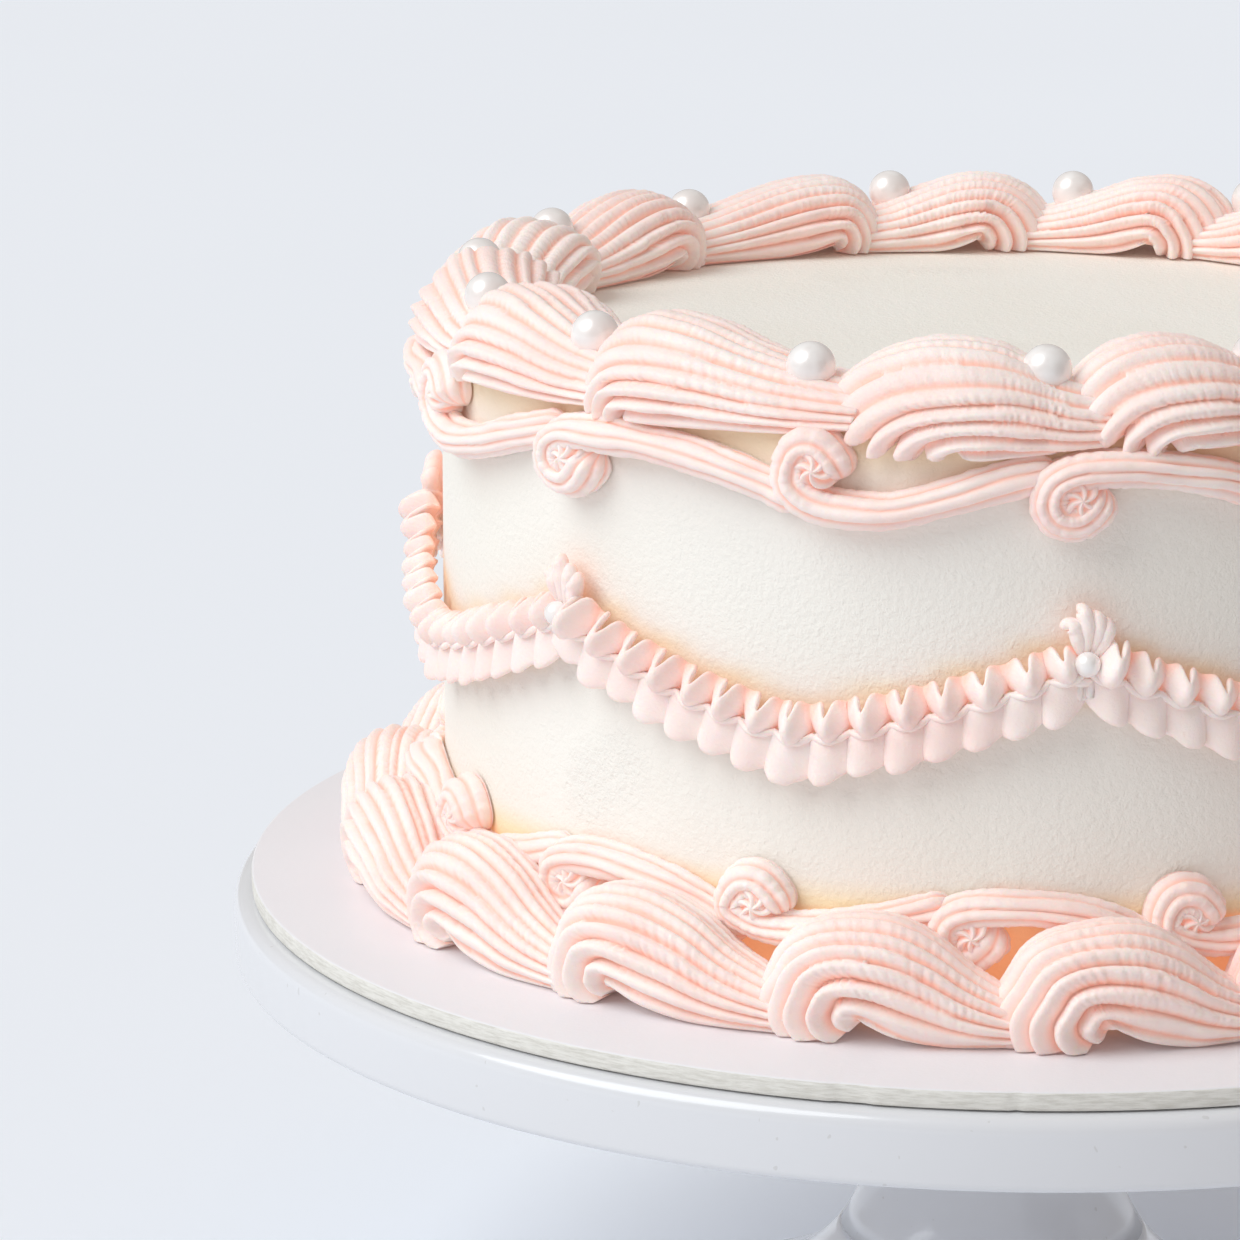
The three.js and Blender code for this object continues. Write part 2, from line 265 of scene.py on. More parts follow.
def deliver(mesh: bmesh.types.BMesh, name: str, material: bpy.types.Material, node: str) -> None:
    """Closes a mesh's seams and hands it over as a finished piece.

    Args:
        mesh: the piece's faces, in place.
        name: the piece's name.
        material: its finish.
        node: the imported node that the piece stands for.
    """
    bmesh.ops.remove_doubles(mesh, verts=mesh.verts, dist=MERGE_DISTANCE)
    bmesh.ops.recalc_face_normals(mesh, faces=mesh.faces)
    for face in mesh.faces:
        face.smooth = True
    data = bpy.data.meshes.new(name)
    mesh.to_mesh(data)
    mesh.free()
    data.materials.append(material)
    piece = bpy.data.objects.new(name, data)
    bpy.context.scene.collection.objects.link(piece)
    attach(piece, "root")
    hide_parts(node)
    LOG.info("%s: %d faces, stands for %s", name, len(data.polygons), node)


# Finishes


class Socket:
    """An output of a material's nodes that takes part in Python arithmetic."""

    def __init__(self, recipe: "Recipe", output: bpy.types.NodeSocket) -> None:
        """Wraps an output of a recipe's node."""
        self.recipe = recipe
        self.output = output

    def math(self, operation: str, *values: "Socket | float") -> "Socket":
        """Adds a Math node with this output first.

        Args:
            operation: the node's operation.
            values: what its other inputs take.

        Returns:
            The node's output.
        """
        settings = {"operation": operation}
        inputs = dict(enumerate((self, *values)))
        return self.recipe.add("ShaderNodeMath", settings, inputs)

    def reflected(self, operation: str, value: float) -> "Socket":
        """Adds a Math node with a number before this output."""
        return self.recipe.add("ShaderNodeMath", {"operation": operation}, {0: value, 1: self})

    def __add__(self, value: "Socket | float") -> "Socket":
        """This output plus a value."""
        return self.math("ADD", value)

    def __sub__(self, value: "Socket | float") -> "Socket":
        """This output less a value."""
        return self.math("SUBTRACT", value)

    def __mul__(self, value: "Socket | float") -> "Socket":
        """This output times a value."""
        return self.math("MULTIPLY", value)

    def __radd__(self, value: float) -> "Socket":
        """A number plus this output."""
        return self.reflected("ADD", value)

    def __rsub__(self, value: float) -> "Socket":
        """A number less this output."""
        return self.reflected("SUBTRACT", value)

    def __rmul__(self, value: float) -> "Socket":
        """A number times this output."""
        return self.reflected("MULTIPLY", value)


class Recipe:
    """A material and the nodes that make its finish."""

    def __init__(self, name: str) -> None:
        """Starts a material that holds one Principled shader.

        Args:
            name: the material's name.
        """
        self.material = bpy.data.materials.new(name)
        self.material.use_nodes = True
        self.tree = self.material.node_tree
        self.shader = next(n for n in self.tree.nodes if n.type == "BSDF_PRINCIPLED")

    def set_input(self, socket: bpy.types.NodeSocket, value: "Socket | float | Sequence[float]") -> None:
        """Links or sets one input.

        Args:
            socket: the input.
            value: an output to link, or the value itself.
        """
        if isinstance(value, Socket):
            self.tree.links.new(value.output, socket)
        else:
            socket.default_value = value

    def add(self, kind: str, settings: dict, inputs: dict, output: int | str = 0) -> Socket:
        """Adds a node.

        Args:
            kind: the node's type.
            settings: attributes that are set first.
            inputs: values or links by socket name or number.
            output: which output to return.

        Returns:
            The chosen output.
        """
        node = self.tree.nodes.new(kind)
        for key, value in settings.items():
            setattr(node, key, value)
        for key, value in inputs.items():
            self.set_input(node.inputs[key], value)
        return Socket(self, node.outputs[output])

    def dress(self, **values: "Socket | float | Sequence[float]") -> None:
        """Sets the shader's inputs, named in capitals-first words joined by underscores."""
        for key, value in values.items():
            self.set_input(self.shader.inputs[key.replace("_", " ")], value)

    def place(self) -> Socket:
        """The surface's own place, in metres."""
        return self.add("ShaderNodeTexCoord", {}, {}, "Object")

    def noise(self, scale: float, detail: float = 2, roughness: float = 0.5) -> Socket:
        """Noise of a scale in lumps to a metre."""
        inputs = {"Vector": self.place(), "Scale": scale, "Detail": detail, "Roughness": roughness}
        return self.add("ShaderNodeTexNoise", {"noise_dimensions": "3D"}, inputs, 0)

    def spread(self, value: Socket, low: float, high: float, start: float = 0.0, end: float = 1.0) -> Socket:
        """Maps a range of a value to another, eased and clamped.

        Args:
            value: what is read.
            low: where its range starts.
            high: where it ends.
            start: the result at low and under it.
            end: the result at high and over it.

        Returns:
            The result.
        """
        settings = {"interpolation_type": "SMOOTHSTEP", "clamp": True}
        inputs = {0: value, 1: low, 2: high, 3: start, 4: end}
        return self.add("ShaderNodeMapRange", settings, inputs, 0)

    def mix(self, share: Socket | float, first: "Socket | Colour", second: "Socket | Colour") -> Socket:
        """Mixes two colours by a share."""
        settings = {"data_type": "RGBA", "blend_type": "MIX"}
        return self.add("ShaderNodeMix", settings, {0: share, 6: first, 7: second}, 2)

    def bump(self, height: Socket, distance: float, strength: float = 1.0) -> Socket:
        """Turns a height of 0 to 1 into a normal, where 1 stands distance metres proud."""
        inputs = {"Height": height, "Distance": distance, "Strength": strength}
        return self.add("ShaderNodeBump", {}, inputs, 0)


def tone(red: int, green: int, blue: int) -> Colour:
    """Turns a screen colour into the linear colour that a shader takes.

    Args:
        red: from 0 to 255.
        green: from 0 to 255.
        blue: from 0 to 255.

    Returns:
        The colour, opaque.
    """
    shares = (value / 255 for value in (red, green, blue))
    linear = (s / 12.92 if s <= 0.04045 else ((s + 0.055) / 1.055) ** 2.4 for s in shares)
    return (*linear, 1.0)


@dataclass(frozen=True)
class PipedIcing:
    """Whipped buttercream that was piped: pale crests, fine cracks and a soft sheen, with painted shade in
    the creases and a faint painted glow, stronger in the creases.
    """

    name: str = "blush_icing"
    crest: Colour = tone(255, 240, 235)
    warm: Colour = tone(255, 230, 224)
    # Painted shade: a peach tone laid in the creases, where shade falls.
    painted_crease_shade: Colour = tone(255, 200, 183)
    # Painted glow: an emission, faint on the crests and stronger in the creases, that no lamp gives.
    painted_crest_glow: Colour = (0.05, 0.03, 0.026, 1.0)
    painted_crease_glow: Colour = (0.16, 0.082, 0.064, 1.0)
    grain_scale: float = 1900
    patch_scale: float = 45

    def material(self) -> bpy.types.Material:
        """Makes the finish.

        Returns:
            The material.
        """
        recipe = Recipe(self.name)
        patches = recipe.spread(recipe.noise(self.patch_scale), 0.35, 0.65)
        tint = recipe.mix(patches, self.crest, self.warm)
        groove = recipe.add("ShaderNodeAttribute", {"attribute_name": "groove"}, {}, "Fac")
        grain = recipe.noise(self.grain_scale, detail=3, roughness=0.6)
        # The groove layer lays the painted crease shade and the stronger painted glow.
        deep = recipe.spread(groove, 0.2, 0.95)
        colour = recipe.mix(deep, tint, self.painted_crease_shade)
        recipe.dress(
            Base_Color=colour,
            Roughness=recipe.spread(grain, 0.3, 0.7, 0.42, 0.58),
            Normal=recipe.bump(grain, 0.00014, 0.9),
            Subsurface_Weight=0.4,
            Subsurface_Radius=(1.0, 0.5, 0.35),
            Subsurface_Scale=0.0009,
            Emission_Color=recipe.mix(deep, self.painted_crest_glow, self.painted_crease_glow),
            Emission_Strength=1.0,
            IOR=1.45,
        )
        recipe.material.cycles.emission_sampling = "NONE"
        return recipe.material


@dataclass(frozen=True)
class SmoothedIcing:
    """Ivory buttercream smoothed with a scraper: orange-peel grain, faint drags and a few smears, with
    painted warm light and glow in the gaps beside the piping.
    """

    name: str = "ivory_icing"
    pale: Colour = tone(250, 247, 240)
    cream: Colour = tone(248, 244, 235)
    peel_scale: float = 900
    smear_scale: float = 26
    # Painted light on the wall: a warm bounce tone beside the piping, and an orange tone and glow deep in the
    # gaps at its foot.
    painted_warm_bounce: Colour = tone(252, 236, 200)
    painted_gap_glow: Colour = tone(252, 198, 150)
    painted_gap_emission: Colour = (0.24, 0.14, 0.075, 1.0)

    def material(self) -> bpy.types.Material:
        """Makes the finish.

        Returns:
            The material.
        """
        recipe = Recipe(self.name)
        peel = recipe.noise(self.peel_scale, detail=2, roughness=0.55)
        fine = recipe.noise(self.peel_scale * 3, detail=2)
        smears = recipe.spread(recipe.noise(self.smear_scale, detail=1), 0.66, 0.74)
        crumbs = recipe.noise(self.peel_scale * 0.6, detail=4, roughness=0.75)
        height = peel * 0.5 + fine * 0.2 + smears * crumbs * 1.2
        patches = recipe.spread(recipe.noise(self.smear_scale * 0.6), 0.3, 0.7)
        # This layer marks the painted light in the gaps beside the piping.
        painted_light = recipe.add("ShaderNodeAttribute", {"attribute_name": "painted_light"}, {}, "Fac")
        painted_bounce_share = recipe.spread(painted_light, 0.0, 0.5)
        colour = recipe.mix(painted_bounce_share, recipe.mix(patches, self.pale, self.cream), self.painted_warm_bounce)
        recipe.dress(
            Base_Color=recipe.mix(recipe.spread(painted_light, 0.5, 1.0), colour, self.painted_gap_glow),
            Roughness=recipe.spread(fine, 0.3, 0.7, 0.46, 0.6),
            Normal=recipe.bump(height, 0.00045, 1.0),
            Emission_Color=recipe.mix(recipe.spread(painted_light, 0.55, 1.0), BLACK, self.painted_gap_emission),
            Emission_Strength=1.0,
            IOR=1.45,
        )
        recipe.material.cycles.emission_sampling = "NONE"
        return recipe.material


@dataclass(frozen=True)
class PearlCoat:
    """A sugar pearl's lustre: a bright shell with a satin body under a clear coat."""

    name: str = "sugar_pearl"
    body: Colour = tone(252, 249, 247)
    shade: Colour = tone(246, 240, 237)

    def material(self) -> bpy.types.Material:
        """Makes the finish.

        Returns:
            The material.
        """
        recipe = Recipe(self.name)
        clouds = recipe.spread(recipe.noise(260), 0.35, 0.65)
        recipe.dress(
            Base_Color=recipe.mix(clouds, self.body, self.shade),
            Roughness=recipe.spread(recipe.noise(1500), 0.3, 0.7, 0.3, 0.38),
            Metallic=recipe.spread(clouds, 0.0, 1.0, 0.08, 0.16),
            Normal=recipe.bump(recipe.noise(2400), 0.00001, 0.4),
            Coat_Weight=1.0,
            Coat_Roughness=0.06,
            Specular_IOR_Level=0.7,
        )
        return recipe.material


@dataclass(frozen=True)
class Glaze:
    """White glazed porcelain, smooth and bright, with a faint wave and a few pin specks."""

    name: str = "glazed_porcelain"
    body: Colour = tone(226, 227, 231)
    speck: Colour = tone(214, 214, 216)

    def material(self) -> bpy.types.Material:
        """Makes the finish.

        Returns:
            The material.
        """
        recipe = Recipe(self.name)
        specks = recipe.spread(recipe.noise(700, detail=0), 0.82, 0.86)
        recipe.dress(
            Base_Color=recipe.mix(specks, self.body, self.speck),
            Roughness=recipe.spread(recipe.noise(60), 0.3, 0.7, 0.16, 0.24),
            Normal=recipe.bump(recipe.noise(22, detail=1), 0.0004, 0.25),
            Coat_Weight=0.6,
            Coat_Roughness=0.08,
            IOR=1.5,
        )
        return recipe.material


@dataclass(frozen=True)
class CoatedCard:
    """White coated card: a satin face with a faint tooth, and an edge of pressed grey-white plies."""

    face_height: float
    name: str = "coated_card"
    face: Colour = tone(238, 237, 241)
    edge: Colour = tone(236, 234, 228)
    fibre: Colour = tone(214, 211, 203)

    def material(self) -> bpy.types.Material:
        """Makes the finish.

        Returns:
            The material.
        """
        recipe = Recipe(self.name)
        place = recipe.place()
        height = recipe.add("ShaderNodeSeparateXYZ", {}, {0: place}, "Z")
        on_face = recipe.spread(height, self.face_height - 0.0003, self.face_height - 0.0001)
        squeezed = recipe.add("ShaderNodeMapping", {}, {"Vector": place, "Scale": (1, 1, 9)})
        inputs = {"Vector": squeezed, "Scale": 260.0, "Detail": 4.0, "Roughness": 0.7}
        plies = recipe.add("ShaderNodeTexNoise", {}, inputs)
        edge = recipe.mix(recipe.spread(plies, 0.35, 0.7), self.edge, self.fibre)
        tooth = recipe.noise(1300, detail=2)
        recipe.dress(
            Base_Color=recipe.mix(on_face, edge, self.face),
            Roughness=recipe.spread(on_face, 0, 1, 0.75, 0.4),
            Normal=recipe.bump(tooth * 0.3 + plies * (1 - on_face), 0.00025, 0.5),
            IOR=1.45,
        )
        return recipe.material


# The stand, the board and the cake


@dataclass
class Stand:
    """The pedestal: a plate with a turned-down skirt, a waisted stem and a spreading foot."""

    plate_radius: float
    plate_top: float
    skirt_depth: float = 12.7
    skirt_wall: float = 6
    rim_round: float = 3
    thickness: float = 8
    stem_radius: float = 20
    waist_height: float = 44
    foot_radius: float = 68
    foot_edge: float = 5
    foot_ring: float = 9
    foot_recess: float = 4
    sides: int = 192

    def outline(self) -> list[Vector]:
        """Draws the stand's outline, from the middle of the plate to the middle of the foot.

        Returns:
            The outline's points in the XZ plane, in metres.
        """
        skirt_base = self.plate_top - self.skirt_depth
        inner_skirt = self.plate_radius - self.skirt_wall
        underside = self.plate_top - self.thickness
        inner_foot = self.foot_radius - self.foot_ring
        corners = [
            (0, self.plate_top, 0),
            (self.plate_radius, self.plate_top, self.rim_round),
            (self.plate_radius, skirt_base, 1.6),
            (inner_skirt, skirt_base, 1.6),
            (inner_skirt - 2, underside, 3),
            (self.stem_radius + 22, underside - 1, 12),
            (self.stem_radius + 4, underside - 10, 8),
            (self.stem_radius, self.waist_height, 18),
            (self.stem_radius + 14, self.waist_height - 22, 12),
            (self.foot_radius - 17, self.foot_edge + 8, 12),
            (self.foot_radius - 1, self.foot_edge + 1, 2.4),
            (self.foot_radius - 1, 0, 1.2),
            (inner_foot, 0, 1.2),
            (inner_foot - 3, self.foot_recess, 1),
            (0, self.foot_recess, 0),
        ]
        return rounded_outline(corners, steps=6)

    def build(self, finish: bpy.types.Material) -> None:
        """Turns the stand and hands it over.

        Args:
            finish: its glaze.
        """
        mesh = bmesh.new()
        turn_outline(mesh, self.outline(), self.sides)
        deliver(mesh, "pedestal_stand", finish, "stand")


@dataclass
class Board:
    """The round card under the cake, with a lapped seam and a dent in its edge."""

    radius: float
    base: float
    top: float
    rounding: float = 0.5
    seam_angle: float = -9.5
    seam_width: float = 5
    seam_depth: float = 0.35
    dent_angle: float = 1.6
    dent_width: float = 0.8
    dent_depth: float = 0.5
    sides: int = 720

    def build(self, finish: bpy.types.Material) -> None:
        """Turns the board, presses its seam and dent in, and hands it over.

        Args:
            finish: its card.
        """
        corners = [
            (0, self.top, 0),
            (self.radius, self.top, self.rounding),
            (self.radius, self.base, self.rounding),
            (0, self.base, 0),
        ]
        mesh = bmesh.new()
        turn_outline(mesh, rounded_outline(corners, steps=3), self.sides)
        for vert in mesh.verts:
            self.press(vert)
        deliver(mesh, "card_board", finish, "cake_board")

    def press(self, vert: bmesh.types.BMVert) -> None:
        """Moves one point of the rim in where the seam or the dent crosses it.

        Args:
            vert: the point.
        """
        radius = math.hypot(vert.co.x, vert.co.y)
        if radius < (self.radius - 2) * MM:
            return
        run = math.degrees(math.atan2(vert.co.x, -vert.co.y)) * math.radians(self.radius)
        seam = abs(run - math.radians(self.seam_angle) * self.radius) < self.seam_width / 2
        dent = 1 - abs(run - math.radians(self.dent_angle) * self.radius) / self.dent_width
        depth = self.seam_depth * seam + self.dent_depth * max(dent, 0)
        factor = 1 - depth * MM / radius
        vert.co.x *= factor
        vert.co.y *= factor


@dataclass
class CakeBody:
    """The frosted cake: a scraped wall and top that are true to within a fraction of a millimetre."""

    radius: float
    base: float
    top: float
    rounding: float = 2.4
    wall_step: float = 4
    sides: int = 360
    unevenness: float = 0.22
    # Where painted light lies on the wall: heights over the base for the low and the high gaps, and a band
    # round the swags' line.
    low_painted_light: tuple[float, float] = (23, 15)
    high_painted_light: tuple[float, float] = (87, 99)
    high_share: float = 0.4
    band_share: float = 0.36
    band_reach: float = 8.4
    band_fade: float = 4
    lumps_round: int = 12
    lump_height: float = 38
    top_share: float = 0.6
    seed: int = 11

    def build(self, finish: bpy.types.Material, garland: "SwagGarland") -> None:
        """Turns the cake, makes it slightly uneven and hands it over.

        Args:
            finish: the icing.
            garland: the swags, along whose line painted warm light lies on the wall.
        """
        wall = np.arange(self.base + self.wall_step, self.top - self.rounding - 1, self.wall_step)
        rings = np.arange(self.wall_step, self.radius - self.rounding - 1, self.wall_step)
        corners = [(0, self.top, 0)]
        corners += [(float(radius), self.top, 0) for radius in rings]
        corners += [(self.radius, self.top, self.rounding)]
        corners += [(self.radius, float(height), 0) for height in wall[::-1]]
        corners += [(self.radius, self.base, 0), (0, self.base, 0)]
        mesh = bmesh.new()
        turn_outline(mesh, rounded_outline(corners, steps=5), self.sides)
        bmesh.ops.remove_doubles(mesh, verts=mesh.verts, dist=MERGE_DISTANCE)
        grain = Grain(self.seed)
        # Painted light in the gaps beside the piping, kept as a layer for the icing finish.
        layer = mesh.verts.layers.float.new("painted_light")
        for vert in mesh.verts:
            vert[layer] = self.painted_light(vert, garland)
            if vert.co.z > (self.base + 1) * MM:
                self.shift(vert, grain)
        deliver(mesh, "frosted_cake", finish, "cake_body")

    def painted_light(self, vert: bmesh.types.BMVert, garland: "SwagGarland") -> float:
        """How much painted light lies at a point of the wall, in the gaps beside the piping and along the
        swags.

        Args:
            vert: the point.
            garland: the swags.

        Returns:
            A share from 0 to 1.
        """
        x, y, z = vert.co / MM
        if math.hypot(x, y) < self.radius - 1:
            return 0.0
        height = z - self.base
        low = float(smoothstep(np.array(height), *self.low_painted_light))
        high = self.high_share * float(smoothstep(np.array(height), *self.high_painted_light))
        above = z - garland.level_at(math.degrees(math.atan2(x, -y)))
        inside = np.array(self.band_reach - abs(above))
        band = self.band_share * float(smoothstep(inside, 0, self.band_fade))
        return max(low, high, band)

    def shift(self, vert: bmesh.types.BMVert, grain: Grain) -> None:
        """Moves one point in by up to the unevenness.

        Args:
            vert: the point.
            grain: the icing's lumps.
        """
        x, y, z = vert.co / MM
        turn = math.atan2(x, -y) / math.tau
        run = np.array(turn * self.lumps_round % self.lumps_round)
        lump = float(grain.at(run, np.array(z / self.lump_height)))
        inward = self.unevenness * (1 + lump) / 2
        flat = math.hypot(x, y) < self.radius - self.rounding
        if flat:
            vert.co.z -= inward * self.top_share * MM
        else:
            vert.co.x *= 1 - inward / self.radius
            vert.co.y *= 1 - inward / self.radius


# Piped shells


@dataclass
class Shell:
    """One piped shell: ridged rings that stand on a pinch line and lean over from head to tail."""

    size: "ShellSize"
    angle: float
    pitch: float
    droop: float
    stretch: float
    seed: int
    rows: int = 150
    dome_columns: int = 104
    floor_columns: int = 4

    def __post_init__(self) -> None:
        """Draws how this shell differs from its neighbours."""
        draw = np.random.default_rng(self.seed)
        self.tallness = draw.uniform(0.96, 1.03)
        self.fatness = draw.uniform(0.95, 1.04)
        self.ridge_shift = draw.uniform(-0.25, 0.25)
        self.sideways = draw.uniform(-0.8, 0.8)
        self.lean_shift = draw.uniform(-3, 3)
        self.grain = Grain(self.seed)

    def form(self, column: np.ndarray, row: np.ndarray) -> np.ndarray:
        """Places the shell's points.

        Args:
            column: column numbers round a ring.
            row: row numbers from head to tail; the first and last close to a point.

        Returns:
            One row of x, y, z in millimetres for each point.
        """
        size = self.size
        share = np.clip((row - 1) / (self.rows - 2), 0, 1)
        opened = ((row > 0) & (row < self.rows)).astype(float)
        lean, slide, rise, height, half_width = read_curve(np.array(size.stations, float), share).T
        lean = lean + self.lean_shift * np.sin(math.pi * share)
        height = height * (1 + (self.tallness - 1) * np.sin(math.pi * np.clip(share * 1.4, 0, 1)))
        half_width = half_width * self.fatness
        open_angle = math.radians(size.open_angle)
        phi, back, on_dome = read_section(column, self.dome_columns, self.floor_columns, open_angle)
        floor = math.cos(open_angle)
        reach = (np.cos(phi) - floor) / (1 - floor)
        spread = np.sin(phi) * np.where(on_dome, 1, 1 - 2 * back)
        groove, depth = self.relief(phi, share)
        depth = depth * on_dome * (0.3 + 0.7 * smoothstep(reach, 0.0, 0.15))
        radial = height * (size.core + (reach - size.core) * (1 - depth / np.maximum(height, 4)))
        radial = np.where(on_dome, radial, 0)
        out = half_width * spread * (1 - depth / np.maximum(half_width, 4))
        radial = np.where(opened > 0, radial, height / 2)
        out = out * opened
        pinch = size.pinch * self.stretch
        tail = math.radians(self.pitch) * size.ring + size.overlap - pinch
        forward = np.cos(np.radians(lean))
        along = pinch + tail * slide + radial * forward * np.where(forward < 0, self.stretch, 1)
        out = out + self.sideways * smoothstep(share, 0.3, 1.0)
        past_edge = size.ring + out - size.edge
        overhang = smoothstep(past_edge, *size.edge_clear)
        falling = smoothstep(past_edge, *size.edge_fall)
        up = rise * (1 - falling) + radial * np.sin(np.radians(lean)) - self.droop * falling
        up = size.base + np.maximum(up, -self.droop * overhang)
        self.grooves.append(groove * on_dome)
        return on_ring(self.angle, size.ring, along, np.maximum(out, size.wall - size.ring), up)

    def relief(self, phi: np.ndarray, share: np.ndarray) -> tuple[np.ndarray, np.ndarray]:
        """Works out the ridges.

        Args:
            phi: the section's angle from its crest.
            share: how far along the shell.

        Returns:
            How deep in a groove each point is from 0 to 1, and its depth in millimetres.
        """
        size = self.size
        side = np.sign(phi)
        slope = np.abs(phi) / math.radians(size.open_angle)
        wander = size.wander * self.grain.at(share * 4 + 3, slope * 4 + 9 + side * 5)
        evened = slope + size.evening * np.sin(math.pi * slope)
        extra = np.where(side > 0, self.droop / size.droop_to_ridge, 0)
        place = evened * (size.ridges / 2 + extra) + 0.5 + self.ridge_shift + wander
        number = np.floor(place)
        run = share * size.length
        ragged = smoothstep(share, 0.25, 0.5) * (0.3 + 0.7 * (1 - smoothstep(slope, 0.45, 0.85)))
        patchy = 0.6 + 0.4 * self.grain.at(run / 4.3, number * 3.1 + side * 6)
        jitter = size.tooth_jitter * self.grain.at(run / 3.1, number * 5.3 + side * 2)
        tooth = (1 - (run / size.tooth_pitch + number * 0.61 + jitter) % 1) ** 1.5 * ragged * patchy
        within = np.clip(place - number + size.tooth_shift * tooth, 0, 1)
        crest = np.sin(math.pi * within**size.skew) ** size.sharpness
        groove = 1 - crest
        uneven = 1 + size.groove_unevenness * self.grain.at(number * 3.7 + side * 11, share * 4)
        draped = size.draped_depth * smoothstep(slope, 0.35, 0.65) * (1 - smoothstep(share, 0.3, 0.75))
        deep = size.groove_depth * uneven * (0.75 + 0.25 * smoothstep(slope, 0.2, 0.6) + draped)
        deep = deep * (0.7 + 0.3 * smoothstep(share, 0.0, 0.1)) * (1 - 0.4 * smoothstep(share, 0.6, 0.95))
        crack = self.grain.at(run / size.crack_pitch + number * 5.3, number * 2.1 + within * 0.8)
        torn = size.tooth_depth * tooth + size.crack_depth * crack * (0.4 + 0.6 * ragged)
        soft = size.softness * self.grain.at(run / 5, place * 0.9)
        return groove, groove * deep + torn * crest**2 + soft

    def build(self, mesh: bmesh.types.BMesh) -> None:
        """Adds the shell to a mesh, with its grooves kept as a layer."""
        self.grooves: list[np.ndarray] = []
        pipe(mesh, [(self.rows, self.dome_columns + self.floor_columns, self.form)], self.grooves)


@dataclass(frozen=True)
class ShellSize:
    """The sizes that the shells of one border share.

    Each station of the sweep gives the lean of its ring in degrees, how far the ring has slid along
    the tail (0 to 1), how high its pinch line stands, how far the icing reaches from that line, and
    half its width. Where a shell hangs over the cake's edge, edge_clear and edge_fall say how far
    past it the icing's underside and its back have come down.
    """

    ring: float
    base: float
    pinch: float
    edge: float
    stations: tuple[tuple[float, float, float, float, float], ...]
    open_angle: float
    ridges: float
    wall: float = 0
    overlap: float = 6
    skew: float = 0.6
    sharpness: float = 0.8
    groove_depth: float = 2.5
    core: float = 0.3
    edge_clear: tuple[float, float] = (0.5, 4)
    edge_fall: tuple[float, float] = (-5, 6.5)
    tooth_pitch: float = 1.7
    tooth_depth: float = 0.3
    tooth_shift: float = 0.16
    crack_pitch: float = 0.45
    crack_depth: float = 0.13
    length: float = 62
    wander: float = 0.14
    evening: float = 0.07
    droop_to_ridge: float = 4
    tooth_jitter: float = 0.9
    groove_unevenness: float = 0.2
    draped_depth: float = 0.9
    softness: float = 0.32


@dataclass
class ShellBorder:
    """A ring of piped shells, each head covering the tail before it."""

    name: str
    size: ShellSize
    heads: list[float]
    seed: int
    droops: dict[int, float]
    stretches: dict[int, float]
    usual_droop: float
    stretch_step: float = 0.12

    def pitches(self) -> list[float]:
        """The turn from each head to the next."""
        following = self.heads[1:] + [self.heads[0] + 360]
        return [after - head for head, after in zip(self.heads, following)]

    def build(self, finish: bpy.types.Material) -> None:
        """Pipes every shell and hands each over in place of its solid.

        Args:
            finish: the icing.
        """
        for number, (head, pitch) in enumerate(zip(self.heads, self.pitches()), start=1):
            mesh = bmesh.new()
            droop = self.droops.get(number - 1, self.usual_droop)
            stretch = self.stretches.get(number - 1, 1 + self.stretch_step * (number % 3))
            Shell(self.size, head, pitch, droop, stretch, self.seed + number).build(mesh)
            node = f"{self.name}_shell_{number:02d}"
            deliver(mesh, f"piped_{node}", finish, node)


def ring_angles(shown: Sequence[float], count: int) -> list[float]:
    """Gives all the head angles of a ring.

    Args:
        shown: the angles that the photograph shows.
        count: how many shells the whole ring has.

    Returns:
        The shown angles, then the rest at even spacing.
    """
    rest = count - len(shown)
    pitch = (shown[0] + 360 - shown[-1]) / (rest + 1)
    return list(shown) + [shown[-1] + pitch * (i + 1) for i in range(rest)]


# Piped scrolls


